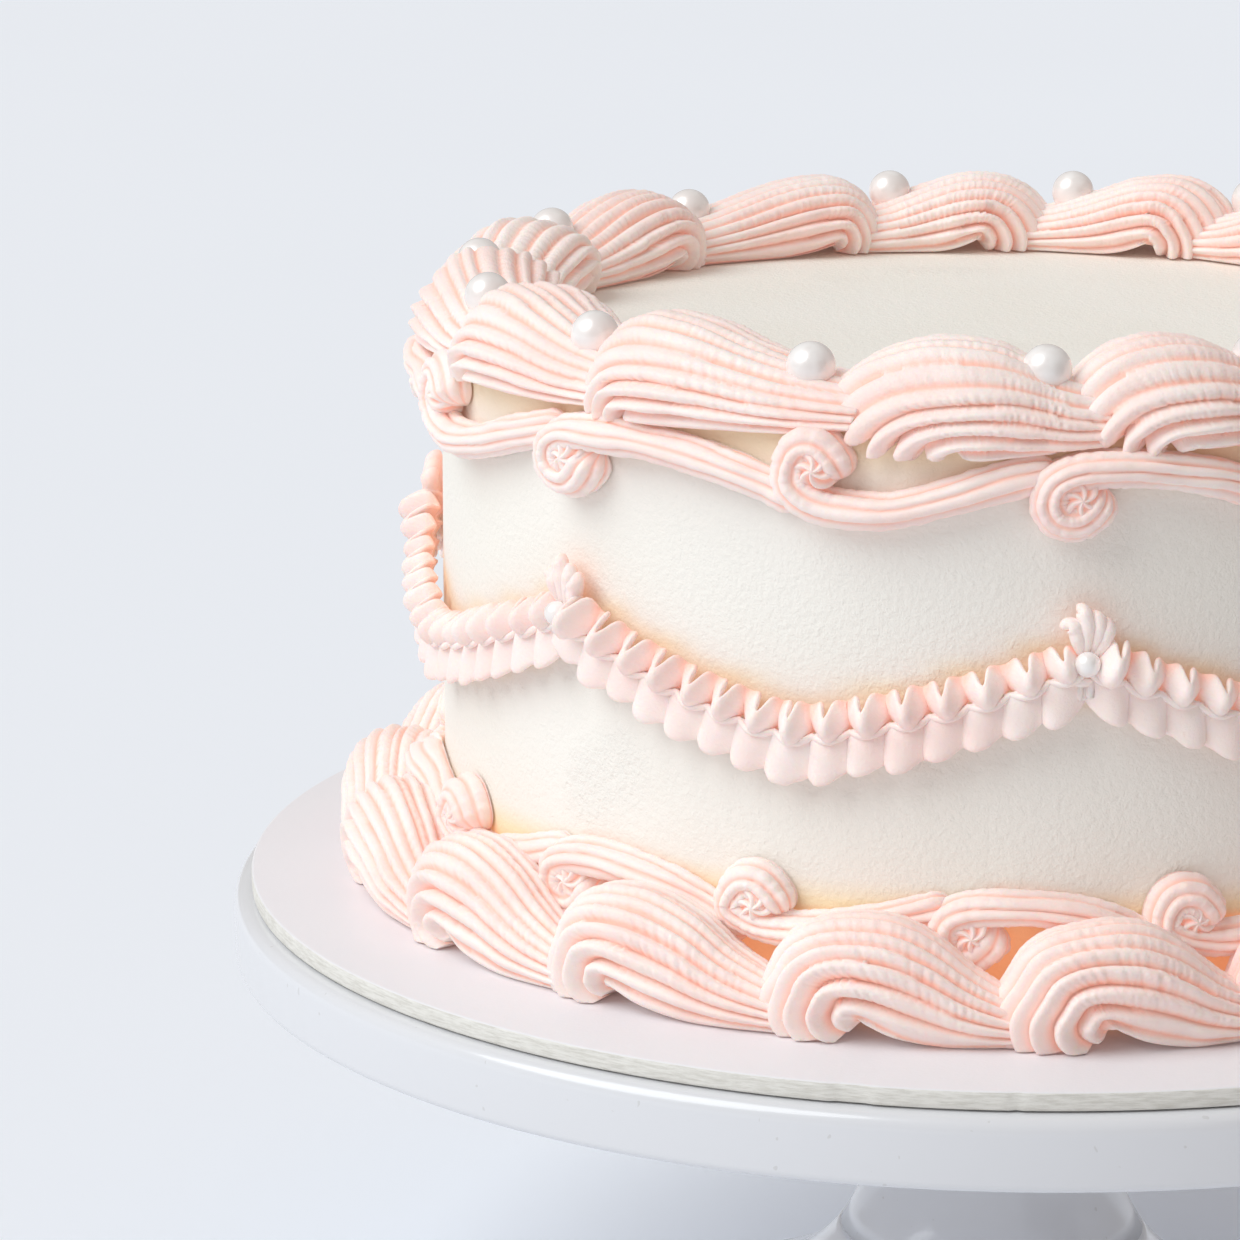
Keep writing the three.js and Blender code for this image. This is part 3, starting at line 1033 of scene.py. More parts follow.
@dataclass
class Rope:
    """One scroll's ridged rope, laid on the cake's wall along its path."""

    places: Outline
    knob_place: tuple[float, float]
    wall: float
    angle: float
    height: float
    seed: int
    knob_radius: float = 3.7
    knob_ridges: int = 6
    knob_rows: int = 14
    knob_columns: int = 48
    knob_twist: float = 8.5
    knob_height: float = 1.16
    knob_groove: float = 0.2
    lumpiness: float = 0.07
    half_width: float = 3.4
    depth: float = 5.6
    open_angle: float = 112
    ridges: float = 5
    groove_depth: float = 1.25
    ruffle_pitch: float = 1.9
    ruffle_depth: float = 0.22
    crack_pitch: float = 0.45
    crack_depth: float = 0.1
    tip_length: float = 3.2
    curl_swell: float = 0.16
    lift: float = 1.3
    sink: float = 1.6
    rows: int = 100
    dome_columns: int = 44
    floor_columns: int = 2

    def travel(self, share: np.ndarray) -> np.ndarray:
        """Measures how far along the path each share lies.

        Args:
            share: shares of the path.

        Returns:
            Distances in millimetres.
        """
        shares = np.linspace(0, 1, 400)
        steps = np.linalg.norm(np.diff(read_curve(np.array(self.places, float), shares), axis=0), axis=1)
        return np.interp(share, shares, np.concatenate([[0], np.cumsum(steps)]))

    def form(self, column: np.ndarray, row: np.ndarray) -> np.ndarray:
        """Places the rope's points.

        Args:
            column: column numbers round the section.
            row: row numbers along the path.

        Returns:
            One row of x, y, z in millimetres for each point.
        """
        grain = Grain(self.seed)
        share = row / self.rows
        path = np.array(self.places, float)
        spot = read_curve(path, share)
        after, before = np.clip(share + 0.004, 0, 1), np.clip(share - 0.004, 0, 1)
        ahead = read_curve(path, after) - read_curve(path, before)
        heading = ahead / np.maximum(np.linalg.norm(ahead, axis=1, keepdims=True), 1e-6)
        run = self.travel(share)
        left = run.max() - run
        open_angle = math.radians(self.open_angle)
        phi, back, on_dome = read_section(column, self.dome_columns, self.floor_columns, open_angle)
        floor = math.cos(open_angle)
        groove, relief = self.relief(grain, (phi / open_angle + 1) / 2, run)
        near_tip = np.clip(np.minimum(run, left) / self.tip_length, 0, 1)
        tip = np.sqrt(1 - (1 - near_tip) ** 2)
        lumps = self.lumpiness * grain.at(run / 6, 3.0 + 0 * share)
        swell = tip * (1 + lumps + self.curl_swell * (1 - smoothstep(share, 0.3, 0.6)))
        relief = relief * on_dome * tip
        across = (self.half_width * swell - relief) * np.sin(phi) * np.where(on_dome, 1, 1 - 2 * back)
        rise = (np.cos(phi) - floor) / (1 - floor)
        lifted = self.lift * smoothstep(share, 0.3, 0.55) * (1 - smoothstep(share, 0.72, 0.9))
        sunk = self.sink * smoothstep(share, 0.85, 1.0)
        out = (self.depth * swell - relief) * rise + (lifted - sunk) * rise
        self.grooves.append(groove * on_dome)
        along = spot[:, 0] - across * heading[:, 1]
        up = self.height + spot[:, 1] + across * heading[:, 0]
        return on_ring(self.angle, self.wall, along, np.maximum(out, 0.05), up)

    def relief(self, grain: Grain, slope: np.ndarray, run: np.ndarray) -> tuple[np.ndarray, np.ndarray]:
        """Works out the rope's ridges.

        Args:
            grain: the rope's unevenness.
            slope: how far over the dome, from 0 to 1.
            run: how far along the rope in millimetres.

        Returns:
            How deep in a groove each point is from 0 to 1, and its depth in millimetres.
        """
        wander = 0.3 * grain.at(run / 9, slope * 2.5) + 0.5 * grain.at(slope * 1.5, 7.5 + 0 * run)
        place = slope * self.ridges + wander
        number = np.floor(place)
        within = place - number
        crest = np.sin(math.pi * within**0.8) ** 0.75
        ruffle = (run / self.ruffle_pitch + number * 0.37 + 0.4 * grain.at(run / 4, number * 2.3)) % 1
        crack = grain.at(run / self.crack_pitch + number * 4.1, number * 1.7)
        deep = self.groove_depth * (1 - crest) * (0.8 + 0.4 * grain.at(number * 3.3, run / 12))
        return 1 - crest, deep + (self.ruffle_depth * (1 - ruffle) ** 2 + self.crack_depth * crack) * crest

    def knob(self, column: np.ndarray, row: np.ndarray) -> np.ndarray:
        """Places the points of the twisted tip that fills the curl.

        Args:
            column: column numbers round the tip.
            row: row numbers from its top to its foot.

        Returns:
            One row of x, y, z in millimetres for each point.
        """
        share = row / self.knob_rows
        fall = np.clip(share / 0.85, 0, 1)
        turn = column / self.knob_columns * math.tau
        twist = turn * self.knob_ridges + self.knob_twist * (1 - fall) + self.seed
        groove = np.abs(np.cos(twist / 2)) ** 2.5 * smoothstep(fall, 0.0, 0.3)
        radius = self.knob_radius * np.sin(fall * 1.75) * (1 - self.knob_groove * groove) * (share < 1)
        height = self.depth * (self.knob_height - self.knob_groove * groove)
        out = height * np.clip(np.cos(fall * 1.57), 0, 1) ** 0.4
        self.grooves.append(groove)
        along = self.knob_place[0] + radius * np.cos(turn)
        up = self.height + self.knob_place[1] + radius * np.sin(turn)
        return on_ring(self.angle, self.wall, along, np.maximum(out, 0.05), up)

    def build(self, mesh: bmesh.types.BMesh) -> None:
        """Adds the rope and its tip to a mesh, with its grooves kept as a layer.

        Args:
            mesh: the mesh that takes the scroll.
        """
        self.grooves: list[np.ndarray] = []
        rope = (self.rows, self.dome_columns + self.floor_columns, self.form)
        pipe(mesh, [rope, (self.knob_rows, self.knob_columns, self.knob)], self.grooves)


@dataclass
class ScrollBorder:
    """A ring of scrolls, one to a shell, hanging and standing by turns."""

    node: str
    heads: list[float]
    cake_base: float
    wall: float
    hanging_curl: float
    standing_curl: float
    seed: int
    offset: float
    dip: float
    tuck: float = 5
    hanging_knob: tuple[float, float] = (1.5, 1.2)
    standing_knob: tuple[float, float] = (1.2, -1.6)

    @staticmethod
    def path(hang: Hang, span: float, change: float, dip: float) -> Outline:
        """Gives a scroll's path.

        Args:
            hang: how the curl lies against its rope.
            span: distance to the next scroll's curl.
            change: how much higher the rope ends.
            dip: how far a standing scroll's rope hangs below its curl.

        Returns:
            Places along and above the curl's centre.
        """
        if hang is Hang.HANGING:
            return [
                (5.6, 2.6),
                (3.7, -0.5),
                (1.1, -2.4),
                (-1.9, -1.9),
                (-3.2, 0.7),
                (-1.8, 3.9),
                (3.8, 5.6),
                (span * 0.38, 5.4),
                (span * 0.7, 2.6 + change * 0.2),
                (span * 0.96, change - 3),
            ]
        return [
            (4.6, -3.6),
            (3.3, -0.4),
            (1.1, 1.9),
            (-1.7, 1.7),
            (-3.3, -1.0),
            (-2.7, -0.62 * dip),
            (2.6, -dip),
            (span * 0.32, -dip),
            (span * 0.66, -0.45 * dip + change * 0.2),
            (span * 0.95, change + 0.6),
        ]

    def build(self, finish: bpy.types.Material) -> None:
        """Pipes every scroll into one piece and hands it over.

        Args:
            finish: the icing.
        """
        mesh = bmesh.new()
        curls = [head + self.offset for head in self.heads]
        following = curls[1:] + [curls[0] + 360]
        for i, (curl, after) in enumerate(zip(curls, following)):
            hang = Hang.HANGING if i % 2 == 1 else Hang.STANDING
            span = math.radians(after - curl) * self.wall
            if hang is Hang.HANGING:
                start, change = self.hanging_curl, self.standing_curl - self.hanging_curl - self.tuck
            else:
                start, change = self.standing_curl, self.hanging_curl - self.standing_curl + self.tuck
            places = self.path(hang, span, change, self.dip)
            height = self.cake_base + start
            knob = self.hanging_knob if hang is Hang.HANGING else self.standing_knob
            Rope(places, knob, self.wall, curl, height, self.seed + i).build(mesh)
        deliver(mesh, f"piped_{self.node}", finish, self.node)


# Sugar pearls


@dataclass
class SugarPearls:
    """The pearls between the top shells, and the small ones that close the bows."""

    count: int
    finish: bpy.types.Material
    pressed: float = 1.2

    def build_large(self) -> None:
        """Makes each large pearl where its solid lies and hands it over."""
        for number in range(1, self.count + 1):
            node = f"top_pearl_{number:02d}"
            low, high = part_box(node)
            mesh = bmesh.new()
            made = bmesh.ops.create_icosphere(mesh, subdivisions=4, radius=(high.z - low.z) / 2)
            centre = (low + high) / 2 - Vector((0, 0, self.pressed * MM))
            bmesh.ops.translate(mesh, verts=made["verts"], vec=centre)
            deliver(mesh, f"sugar_{node}", self.finish, node)

    def build_small(self, centres: Sequence[np.ndarray], radius: float) -> None:
        """Makes the bows' pearls as one piece.

        Args:
            centres: the pearls' places in millimetres.
            radius: a pearl's radius in millimetres.
        """
        mesh = bmesh.new()
        for centre in centres:
            made = bmesh.ops.create_icosphere(mesh, subdivisions=4, radius=radius * MM)
            bmesh.ops.translate(mesh, verts=made["verts"], vec=Vector(centre) * MM)
        deliver(mesh, "bow_pearls", self.finish, "swag_garland")


# Swag garland


@dataclass(frozen=True)
class SwagLine:
    """The line that one swag follows on the cake's wall, from bow to bow."""

    start: float
    turn: float
    wall: float
    height: float
    drop: float
    roundness: float

    def level(self, share: np.ndarray) -> np.ndarray:
        """How high the line runs at a share of the way."""
        return self.height - self.drop * (1 - np.abs(2 * np.clip(share, 0, 1) - 1) ** self.roundness)

    def put(
        self, share: np.ndarray, sideways: np.ndarray, across: np.ndarray, out: np.ndarray, tilt: float
    ) -> np.ndarray:
        """Places points beside the line.

        Args:
            share: how far along the line.
            sideways: shift along it.
            across: distance above it.
            out: distance off the wall.
            tilt: 1 where across follows the line's own slope, 0 where it stays upright.

        Returns:
            One row of x, y, z in millimetres for each point.
        """
        ahead = 0.01
        length = math.radians(self.turn) * self.wall
        slope = (self.level(share + ahead) - self.level(share - ahead)) / (2 * ahead * length)
        stretch = np.sqrt(1 + slope**2)
        along = share * length + (sideways - across * slope * tilt) / stretch
        up = self.level(share) + (sideways * slope + across) / stretch
        return on_ring(self.start, self.wall, along, out, up)


def add_thick_sheet(
    mesh: bmesh.types.BMesh, rows: int, half: int, thickness: float, wall: float, surface: Form
) -> None:
    """Adds a thick sheet with a rounded free edge.

    Args:
        mesh: the mesh that takes the sheet.
        rows: faces along it.
        half: faces from its root to its free edge.
        thickness: its thickness in millimetres.
        wall: the radius that it stays outside.
        surface: gives the places of its middle for shares along and across.
    """

    def form(column: np.ndarray, row: np.ndarray) -> np.ndarray:
        """Places the points of both faces.

        Args:
            column: column numbers over the front face and back.
            row: row numbers along the sheet; the first and last close to a point.

        Returns:
            One row of x, y, z in millimetres for each point.
        """
        share = np.clip((row - 1) / (rows - 2), 0, 1)
        opened = (row > 0) & (row < rows)
        wrapped = column % (2 * half + 2)
        behind = wrapped > half
        step = np.where(behind, 2 * half + 1 - wrapped, wrapped) / half
        across = np.sin(math.pi / 2 * step)
        nudge = 0.002
        along_way = surface(share + nudge, across) - surface(share - nudge, across)
        over_way = surface(share, across + nudge) - surface(share, across - nudge)
        normal = np.cross(along_way, over_way)
        normal /= np.maximum(np.linalg.norm(normal, axis=1, keepdims=True), 1e-9)
        edge = np.clip((across - 0.86) / 0.14, 0, 1)
        offset = thickness / 2 * np.sqrt(1 - edge**2) * np.where(behind, -1, 1)
        place = surface(share, across) + normal * offset[:, None]
        place = np.where(opened[:, None], place, surface(share, 0.5 + 0 * share))
        radius = np.hypot(place[:, 0], place[:, 1])
        place[:, :2] *= (np.maximum(radius, wall + 0.05) / radius)[:, None]
        return place

    bend_sheet(mesh, rows, 2 * half + 2, form)


@dataclass
class SwagGarland:
    """Swags of piped ruffle: folded hoods above a thin cord, shingled petals below it, and bows."""

    wall: float
    cake_base: float
    swags: int = 7
    first_bow: float = 7.4
    bow_height: float = 62
    drop: float = 13.5
    roundness: float = 1.3
    folds: int = 15
    petals: int = 15
    hem: float = 7.3
    thickness: float = 1.3
    hood_thickness: float = 1.1
    cord: float = 0.62
    small_pearl: float = 2.15
    rows: int = 300
    half: int = 11
    cord_columns: int = 8
    lobe_width: float = 1.4
    flake_width: float = 0.9
    lobe_rows: int = 24
    lobe_columns: int = 14
    seed: int = 700
    # Painted shade and glow near the wall, behind the hoods and petals.
    painted_recess_share: float = 0.8
    hood_depths: tuple[float, float] = (1.6, 5.6)
    petal_depths: tuple[float, float] = (0.8, 3.6)
    first_fold: float = 0.28
    fold_unevenness: float = 0.14
    fold_lean: float = 0.8
    petal_unevenness: float = 0.1
    petal_root: float = 2.4
    petal_flare: float = 3.0
    cord_out: float = 3.6
    lobe_out: float = 2.9
    pearl_out: float = 5.2
    pearl_lift: float = 1
    fold_middle: Outline = ((-0.1, 1.8), (-0.8, 5.2), (0.9, 7.0), (2.2, 6.8), (3.0, 6.0))
    fold_lip: Outline = ((0.1, 1.5), (0.0, 3.8), (1.8, 4.9), (4.2, 4.2), (6.2, 3.0))
    fold_valley: Outline = ((0.5, 0.8), (1.0, 1.9), (2.4, 2.5), (3.6, 2.0), (4.4, 1.2))
    petal_curve: tuple[tuple[float, float, float], ...] = (
        (-1.3, 0.72, 0.98),
        (-0.9, 1.0, 1.08),
        (-0.2, 1.0, 1.1),
        (0.0, 0.9, 1.07),
        (0.1, 0.76, 1.02),
        (0.2, 0.6, 0.97),
        (0.4, 0.46, 0.94),
        (0.5, 0.4, 0.93),
        (-1.3, 0.72, 0.98),
    )
    bow_lobes: tuple[Outline, ...] = (
        ((-0.5, 1.6), (-1.3, 4.4), (-1.9, 6.7), (-3.1, 7.5), (-4.1, 6.4)),
        ((-0.1, 1.6), (0.1, 4.8), (-0.1, 7.7), (-0.8, 9.8), (-1.8, 10.2)),
        ((0.4, 1.5), (1.5, 4.5), (1.9, 6.9), (1.5, 8.6), (0.6, 9.2)),
        ((0.7, 1.2), (2.4, 3.8), (3.1, 5.8), (3.1, 7.3), (2.4, 8.2)),
    )
    flake: Outline = ((1.4, -2.0), (-0.2, -2.3), (-1.8, -2.1), (-3.2, -1.7))

    def line(self, index: int) -> SwagLine:
        """Gives the line of one swag.

        Args:
            index: how many swags come before it.

        Returns:
            The line.
        """
        turn = 360 / self.swags
        height = self.cake_base + self.bow_height
        return SwagLine(self.first_bow + turn * index, turn, self.wall, height, self.drop, self.roundness)

    def level_at(self, angle: float) -> float:
        """The height of the swags' line at an angle."""
        share = (angle - self.first_bow) * self.swags / 360 % 1
        return float(self.line(0).level(np.array(share)))

    def fold_turn(self, share: np.ndarray, grain: Grain) -> np.ndarray:
        """The phase of the hoods' folds."""
        return math.tau * (share * self.folds + 0.12 * grain.at(share * 10, 0.5 + 0 * share))

    def hoods(self, line: SwagLine, grain: Grain) -> Form:
        """Gives the middle of the hoods' sheet for shares along and across.

        Args:
            line: the swag's line.
            grain: its unevenness.

        Returns:
            The surface.
        """

        def surface(share: np.ndarray, across: np.ndarray) -> np.ndarray:
            """Places points of the hoods.

            Args:
                share: how far along the swag.
                across: how far from the root to the free edge.

            Returns:
                One row of x, y, z in millimetres for each point.
            """
            turn = self.fold_turn(share, grain)
            number = np.floor(turn / math.tau)
            first = self.first_fold * np.exp(-((share * 25 - 1.2) ** 2))
            size = 1 + self.fold_unevenness * grain.at(number * 2.3, 9.5 + 0 * share) + first
            fold = (1 - np.cos(turn)) / 2
            valley, middle = (1 - fold) ** 1.3, fold**4
            curves = (self.fold_valley, self.fold_lip, self.fold_middle)
            shares = (valley, np.clip(1 - valley - middle, 0, 1) * size, middle * size)
            parts = [
                read_curve(np.array(curve), across) * part[:, None] for curve, part in zip(curves, shares)
            ]
            up, out = sum(parts).T
            ends = smoothstep(np.minimum(share, 1 - share), -0.01, 0.03)
            shifted = 0.5 * across * grain.at(number * 1.7, 30.5 + 0 * share)
            sideways = -self.fold_lean * np.sin(turn) * (1 - 1.5 * across) + shifted
            ragged = 0.12 * grain.at(share * 90, across * 3) * across
            return line.put(share, sideways, up * (0.5 + 0.5 * ends) + ragged, out * (0.6 + 0.4 * ends), 0.8)

        return surface

    def skirt(self, line: SwagLine, grain: Grain, lapped: int) -> Form:
        """Gives the middle of the petals' sheet for shares along and across.

        Args:
            line: the swag's line.
            grain: its unevenness.
            lapped: 1 where each petal laps over the one on its left, -1 over the one on its right.

        Returns:
            The surface.
        """

        def surface(share: np.ndarray, across: np.ndarray) -> np.ndarray:
            """Places points of the petals.

            Args:
                share: how far along the swag.
                across: how far from the root to the free edge.

            Returns:
                One row of x, y, z in millimetres for each point.
            """
            place = share * self.petals * lapped + 0.12 * grain.at(share * 9, 4.5 + 0 * share)
            number = np.floor(place)
            shift, proud, length = read_curve(np.array(self.petal_curve), place - number).T
            size = 1 + self.petal_unevenness * grain.at(number * 3.1, 20.5 + 0 * share)
            ends = smoothstep(np.minimum(share, 1 - share), -0.01, 0.03)
            hem = self.hem * length * size * (0.6 + 0.4 * ends)
            flare = 0.9 + self.petal_flare * np.maximum(across, 0) ** 0.8
            out = self.petal_root - 1.3 * across + proud * size * flare
            sideways = lapped * shift * (0.3 + 0.7 * across)
            ragged = 0.14 * grain.at(share * 110, across * 3 + 40) * across
            return line.put(share, sideways, -0.1 - across * hem + ragged, out, 0.35)

        return surface

    def cord_form(self, line: SwagLine, grain: Grain) -> Form:
        """Gives the form of the thin cord that hangs in small arcs under the hoods.

        Args:
            line: the swag's line.
            grain: its unevenness.

        Returns:
            The form that places its points.
        """

        def form(column: np.ndarray, row: np.ndarray) -> np.ndarray:
            """Places the cord's points.

            Args:
                column: column numbers round the cord.
                row: row numbers along it.

            Returns:
                One row of x, y, z in millimetres for each point.
            """
            share = row / self.rows
            arc = np.abs(np.sin(self.fold_turn(share, grain) / 2))
            opened = ((row > 0) & (row < self.rows)).astype(float)
            turn = column / self.cord_columns * math.tau
            radius = self.cord * opened * (1 + 0.12 * grain.at(share * 60, 50.5 + 0 * share))
            up = -0.3 - 0.9 * arc + radius * np.cos(turn)
            out = self.cord_out + 1.2 * arc + radius * np.sin(turn)
            return line.put(share, 0 * share, up, out, 1)

        return form

    def lobe_form(self, angle: float, places: Outline, width: float, seed: int) -> Form:
        """Gives the form of one lobe of a bow.

        Args:
            angle: the bow's angle.
            places: the lobe's path beside and above the bow's middle.
            width: its half width at its fullest.
            seed: draws its unevenness.

        Returns:
            The form that places its points.
        """
        grain = Grain(seed)
        path = np.array(places)

        def form(column: np.ndarray, row: np.ndarray) -> np.ndarray:
            """Places the lobe's points.

            Args:
                column: column numbers round the lobe.
                row: row numbers along it.

            Returns:
                One row of x, y, z in millimetres for each point.
            """
            share = row / self.lobe_rows
            spot = read_curve(path, share)
            ahead = read_curve(path, share + 0.01) - read_curve(path, share - 0.01)
            heading = ahead / np.maximum(np.linalg.norm(ahead, axis=1, keepdims=True), 1e-9)
            turn = column / self.lobe_columns * math.tau
            ends = np.sqrt(np.clip(1 - np.abs(2 * share - 1) ** 3, 0, 1))
            full = ends * (0.7 + 0.3 * np.sin(math.pi * share))
            radius = width * full * (1 + 0.12 * grain.at(share * 7, 2 * np.cos(turn) + 4))
            along = spot[:, 0] - radius * np.sin(turn) * heading[:, 1]
            up = self.cake_base + self.bow_height + spot[:, 1] + radius * np.sin(turn) * heading[:, 0]
            out = self.lobe_out + 0.9 * np.sin(math.pi * share) + 1.25 * radius * np.cos(turn)
            return on_ring(angle, self.wall, along, np.maximum(out, 0.05), up)

        return form

    def bow_angles(self) -> list[float]:
        """The angle of each bow."""
        return [self.first_bow + 360 / self.swags * i for i in range(self.swags)]

    def pearl_centres(self) -> list[np.ndarray]:
        """Works out where the bows' pearls sit.

        Returns:
            One place in millimetres for each bow.
        """
        height = self.cake_base + self.bow_height + self.pearl_lift
        return [
            on_ring(angle, self.wall, np.array(0.0), np.array(self.pearl_out), np.array(height))
            for angle in self.bow_angles()
        ]

    def build(self, finish: bpy.types.Material) -> None:
        """Pipes the hoods, cords and bows as one piece and the petals as another.

        Args:
            finish: the icing.
        """
        upper, lower = bmesh.new(), bmesh.new()
        for i, angle in enumerate(self.bow_angles()):
            line, grain = self.line(i), Grain(self.seed + i)
            lapped = -1 if i < self.swags // 2 else 1
            hoods, skirt = self.hoods(line, grain), self.skirt(line, grain, lapped)
            add_thick_sheet(upper, self.rows, self.half, self.hood_thickness, self.wall, hoods)
            add_thick_sheet(lower, self.rows, self.half, self.thickness, self.wall, skirt)
            cord = self.cord_form(line, grain)
            bend_sheet(upper, self.rows, self.cord_columns, cord)
            lobes = [(places, self.lobe_width, 50 + 8 * i + n) for n, places in enumerate(self.bow_lobes)]
            for places, width, draw in [*lobes, (self.flake, self.flake_width, 120 + i)]:
                form = self.lobe_form(angle, places, width, self.seed + draw)
                bend_sheet(upper, self.lobe_rows, self.lobe_columns, form)
        # The groove layer here holds painted shade and glow by nearness to the wall, not real grooves.
        for mesh, depths in ((upper, self.hood_depths), (lower, self.petal_depths)):
            layer = mesh.verts.layers.float.new("groove")
            for vert in mesh.verts:
                off_wall = np.array(vert.co.xy.length / MM - self.wall)
                vert[layer] = self.painted_recess_share * (1 - float(smoothstep(off_wall, *depths)))
        deliver(upper, "garland_hoods", finish, "swag_garland")
        deliver(lower, "garland_petals", finish, "swag_garland")


# Studio


@dataclass
class Studio:
    """A seamless pale floor, soft lights and the camera at the photograph's viewing angle."""

    camera_place: tuple[float, float, float] = (0.0, -0.910, 0.3637)
    camera_tilt: float = math.pi / 2 - 0.2329
    camera_turn: float = 0.0782
    lens: float = 145.6
    floor_colour: Colour = tone(244, 248, 255)
    floor_size: float = 40
    floor_back: float = 0.3
    floor_sink: float = 0.0002
    floor_mottle: float = 0.985
    air: tuple[float, float, float] = (0.49, 0.465, 0.45)
    window_azimuth: float = -60
    window_elevation: float = 46
    window_spread: float = 50
    window_strength: float = 1.95
    window_colour: tuple[float, float, float] = (0.93, 0.98, 1.0)
    card_size: float = 0.36
    card_colour: Colour = (0.16, 0.09, 0.04, 1.0)
    card_turn: float = 0.7
    card_place: tuple[float, float, float] = (0.34, -0.26, 0.28)

    def build(self) -> None:
        """Sets up the floor, the air, the lights and the camera."""
        self.make_floor()
        self.make_air()
        self.add_window()
        self.add_card()
        self.make_camera()
        scene = bpy.context.scene
        scene.view_settings.view_transform = "Standard"
        scene.view_settings.look = "None"

    def make_floor(self) -> None:
        """Lays the floor."""
        mesh = bmesh.new()
        bmesh.ops.create_grid(mesh, x_segments=2, y_segments=2, size=self.floor_size / 2)
        place = (0, self.floor_size * self.floor_back, -self.floor_sink)
        bmesh.ops.translate(mesh, verts=mesh.verts, vec=place)
        data = bpy.data.meshes.new("studio_floor")
        mesh.to_mesh(data)
        mesh.free()
        recipe = Recipe("studio_paper")
        patches = recipe.noise(3, detail=1)
        darker = tuple(value * self.floor_mottle for value in self.floor_colour[:3]) + (1.0,)
        recipe.dress(Base_Color=recipe.mix(patches, self.floor_colour, darker), Roughness=0.9)
        data.materials.append(recipe.material)
        floor = bpy.data.objects.new("studio_floor", data)
        bpy.context.scene.collection.objects.link(floor)

    def make_air(self) -> None:
        """Fills the room with an even pale light."""
        world = bpy.data.worlds.new("studio_air")
        world.use_nodes = True
        background = world.node_tree.nodes["Background"]
        background.inputs["Color"].default_value = (*self.air, 1.0)
        bpy.context.scene.world = world

    def add_window(self) -> None:
        """Lets in the broad soft light of a window on the left."""
        lamp = bpy.data.lights.new("window", "SUN")
        lamp.energy = self.window_strength
        lamp.angle = math.radians(self.window_spread)
        lamp.color = self.window_colour
        light = bpy.data.objects.new("window", lamp)
        tilt = math.radians(90 - self.window_elevation)
        light.rotation_euler = (tilt, 0, math.radians(self.window_azimuth))
        bpy.context.scene.collection.objects.link(light)

    def add_card(self) -> None:
        """Stands a dark card on the right, out of every picture, so that the light falls off there."""
        mesh = bmesh.new()
        bmesh.ops.create_grid(mesh, x_segments=1, y_segments=1, size=self.card_size / 2)
        bmesh.ops.rotate(mesh, verts=mesh.verts, matrix=Matrix.Rotation(math.pi / 2, 3, "Y"))
        bmesh.ops.rotate(mesh, verts=mesh.verts, matrix=Matrix.Rotation(-self.card_turn, 3, "Z"))
        bmesh.ops.translate(mesh, verts=mesh.verts, vec=self.card_place)
        data = bpy.data.meshes.new("studio_card")
        mesh.to_mesh(data)
        mesh.free()
        recipe = Recipe("dark_card")
        recipe.dress(Base_Color=self.card_colour, Roughness=1.0)
        data.materials.append(recipe.material)
        card = bpy.data.objects.new("studio_card", data)
        bpy.context.scene.collection.objects.link(card)
        card.visible_camera = False

    def make_camera(self) -> None:
        """Stands the camera where the photograph was taken from."""
        data = bpy.data.cameras.new("camera")
        data.lens = self.lens
        data.sensor_width = 36
        data.clip_end = 60
        camera = bpy.data.objects.new("camera", data)
        camera.location = self.camera_place
        camera.rotation_euler = (self.camera_tilt, 0, self.camera_turn)
        bpy.context.scene.collection.objects.link(camera)
        bpy.context.scene.camera = camera


# The whole cake

TOP_HEADS_SHOWN = (-208.1, -186.1, -164.4, -138.4, -115.0, -92.0, -69.0, -44.5, -18.0, 5.1)
TOP_DROOPS = {6: 2.6, 7: 2.4, 8: 4.0, 9: 3.0}
TOP_STRETCHES = {6: 1.1, 7: 1.05, 8: 1.72, 9: 1.4}
TOP_SHELLS = 16
BOTTOM_HEADS_SHOWN = (-61.0, -41.0, -20.2, -0.6)
BOTTOM_SHELLS = 18
BOTTOM_STRETCHES = {1: 1.1, 2: 1.25, 3: 1.3}


def node_span(node: str) -> tuple[float, float, float]:
    """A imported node's radius, lowest and highest height, in millimetres."""
    low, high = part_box(node)
    return (high.x - low.x) / 2 / MM, low.z / MM, high.z / MM


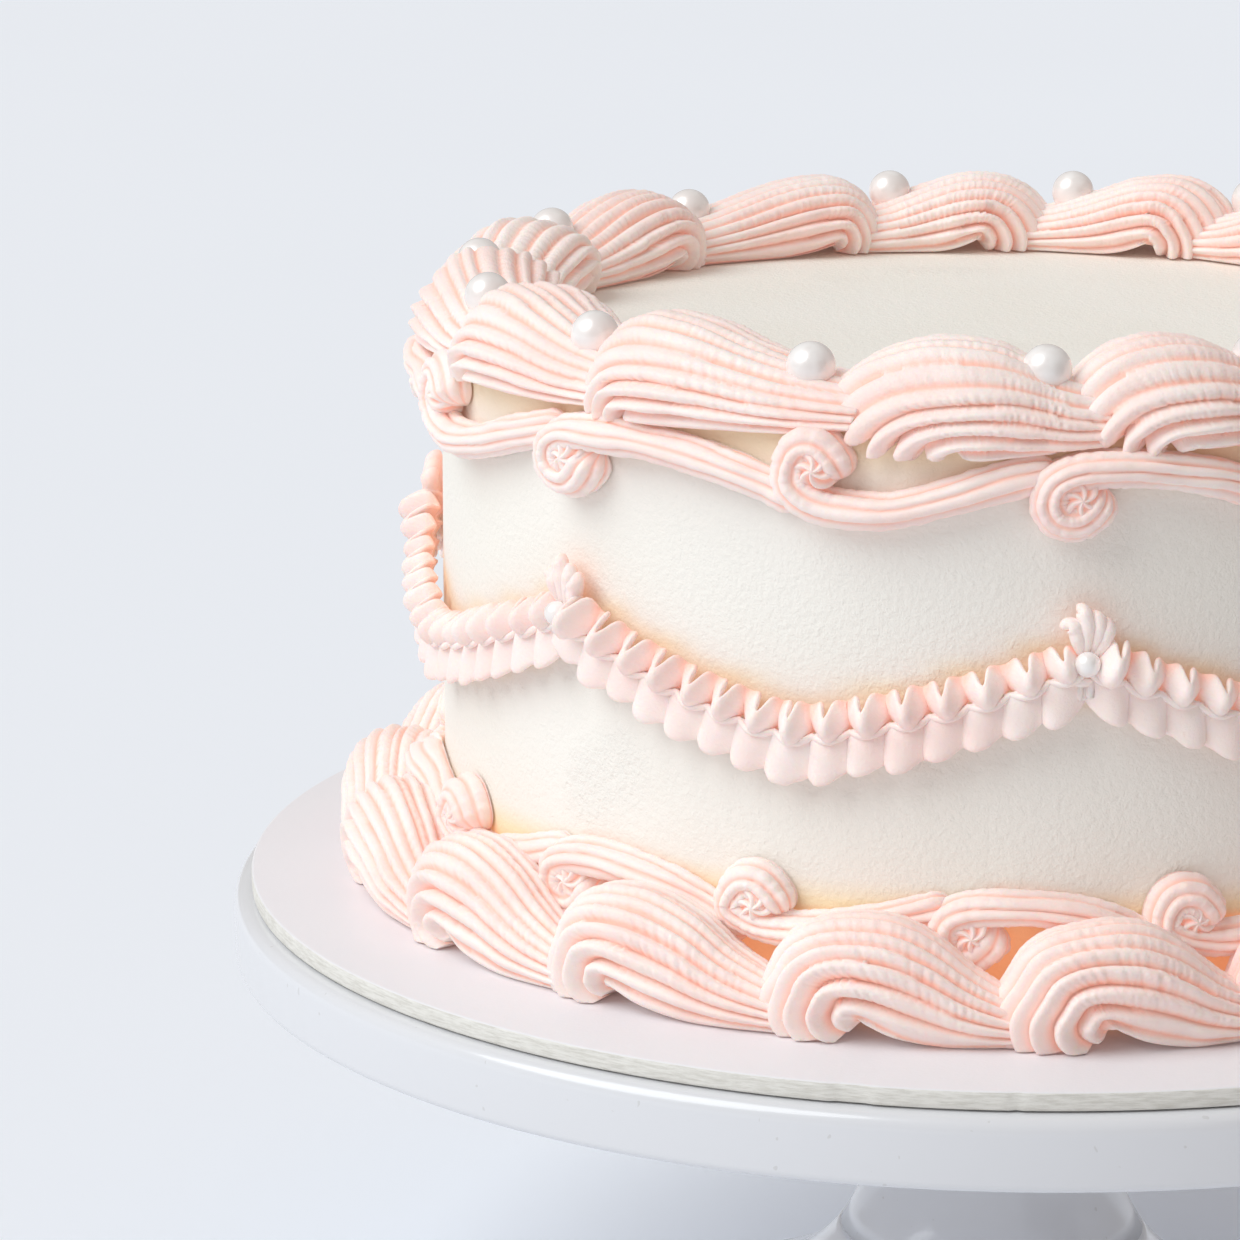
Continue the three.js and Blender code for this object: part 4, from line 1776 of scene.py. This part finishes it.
def main() -> None:
    """Builds the cake from the table upwards, then the studio round it."""
    logging.basicConfig(level=logging.INFO, format="%(name)s: %(message)s")
    Studio().build()
    plate_radius, _, plate_top = node_span("stand")
    board_radius, board_base, board_top = node_span("cake_board")
    cake_radius, cake_base, cake_top = node_span("cake_body")
    blush = PipedIcing().material()
    pearl = PearlCoat().material()

    Stand(plate_radius, plate_top).build(Glaze().material())
    Board(board_radius, board_base, board_top).build(CoatedCard(board_top * MM).material())
    garland = SwagGarland(cake_radius + GAP, cake_base)
    CakeBody(cake_radius, cake_base, cake_top).build(SmoothedIcing().material(), garland)

    top_heads = ring_angles(TOP_HEADS_SHOWN, TOP_SHELLS)
    bottom_heads = ring_angles(BOTTOM_HEADS_SHOWN, BOTTOM_SHELLS)
    top_size = ShellSize(
        ring=95.5,
        base=cake_top + GAP,
        pinch=14.5,
        edge=cake_radius,
        open_angle=122,
        ridges=13.2,
        stations=(
            (228, 0, 2.4, 12.5, 9.5),
            (204, 0, 2.4, 13.8, 12),
            (180, 0, 2.4, 14.3, 13.4),
            (155, 0, 2.4, 13.8, 14.4),
            (130, 0, 2.4, 13.4, 15),
            (108, 0.04, 2.0, 13.2, 15.2),
            (94, 0.16, 1.0, 13.2, 14.8),
            (85, 0.32, 0.2, 12.2, 13.8),
            (78, 0.5, 0, 10.4, 13),
            (74, 0.7, 0, 8.8, 12.4),
            (70, 1, 0, 7, 11),
        ),
    )
    bottom_size = ShellSize(
        ring=113.5,
        base=board_top + GAP,
        pinch=15.5,
        edge=board_radius,
        wall=cake_radius + GAP,
        open_angle=134,
        ridges=13.6,
        stations=(
            (228, 0, 4, 13.5, 7.5),
            (204, 0, 4, 15, 9),
            (180, 0, 4, 15.5, 10),
            (155, 0, 4, 15.3, 10.6),
            (130, 0, 4, 16.7, 10.8),
            (108, 0.04, 3.4, 17.5, 10.8),
            (94, 0.17, 1.8, 18.6, 10.6),
            (85, 0.34, 0.6, 17, 9.8),
            (78, 0.52, 0, 13.4, 9.2),
            (74, 0.72, 0, 10, 8.4),
            (70, 1, 0, 6.5, 7),
        ),
    )
    ShellBorder("top", top_size, top_heads, 100, TOP_DROOPS, TOP_STRETCHES, usual_droop=3).build(blush)
    ShellBorder("bottom", bottom_size, bottom_heads, 200, {}, BOTTOM_STRETCHES, usual_droop=0).build(blush)
    wall = cake_radius + GAP
    ScrollBorder(
        "top_scrolls", top_heads, cake_base, wall,
        hanging_curl=89.3, standing_curl=95.5, seed=300, offset=0.7, dip=8,
    ).build(blush)
    ScrollBorder(
        "bottom_scrolls", bottom_heads, cake_base, wall,
        hanging_curl=14.8, standing_curl=19.8, seed=400, offset=-2.4, dip=5.2,
    ).build(blush)
    garland.build(blush)
    pearls = SugarPearls(TOP_SHELLS, pearl)
    pearls.build_large()
    pearls.build_small(garland.pearl_centres(), garland.small_pearl)


if __name__ == "__main__":
    main()
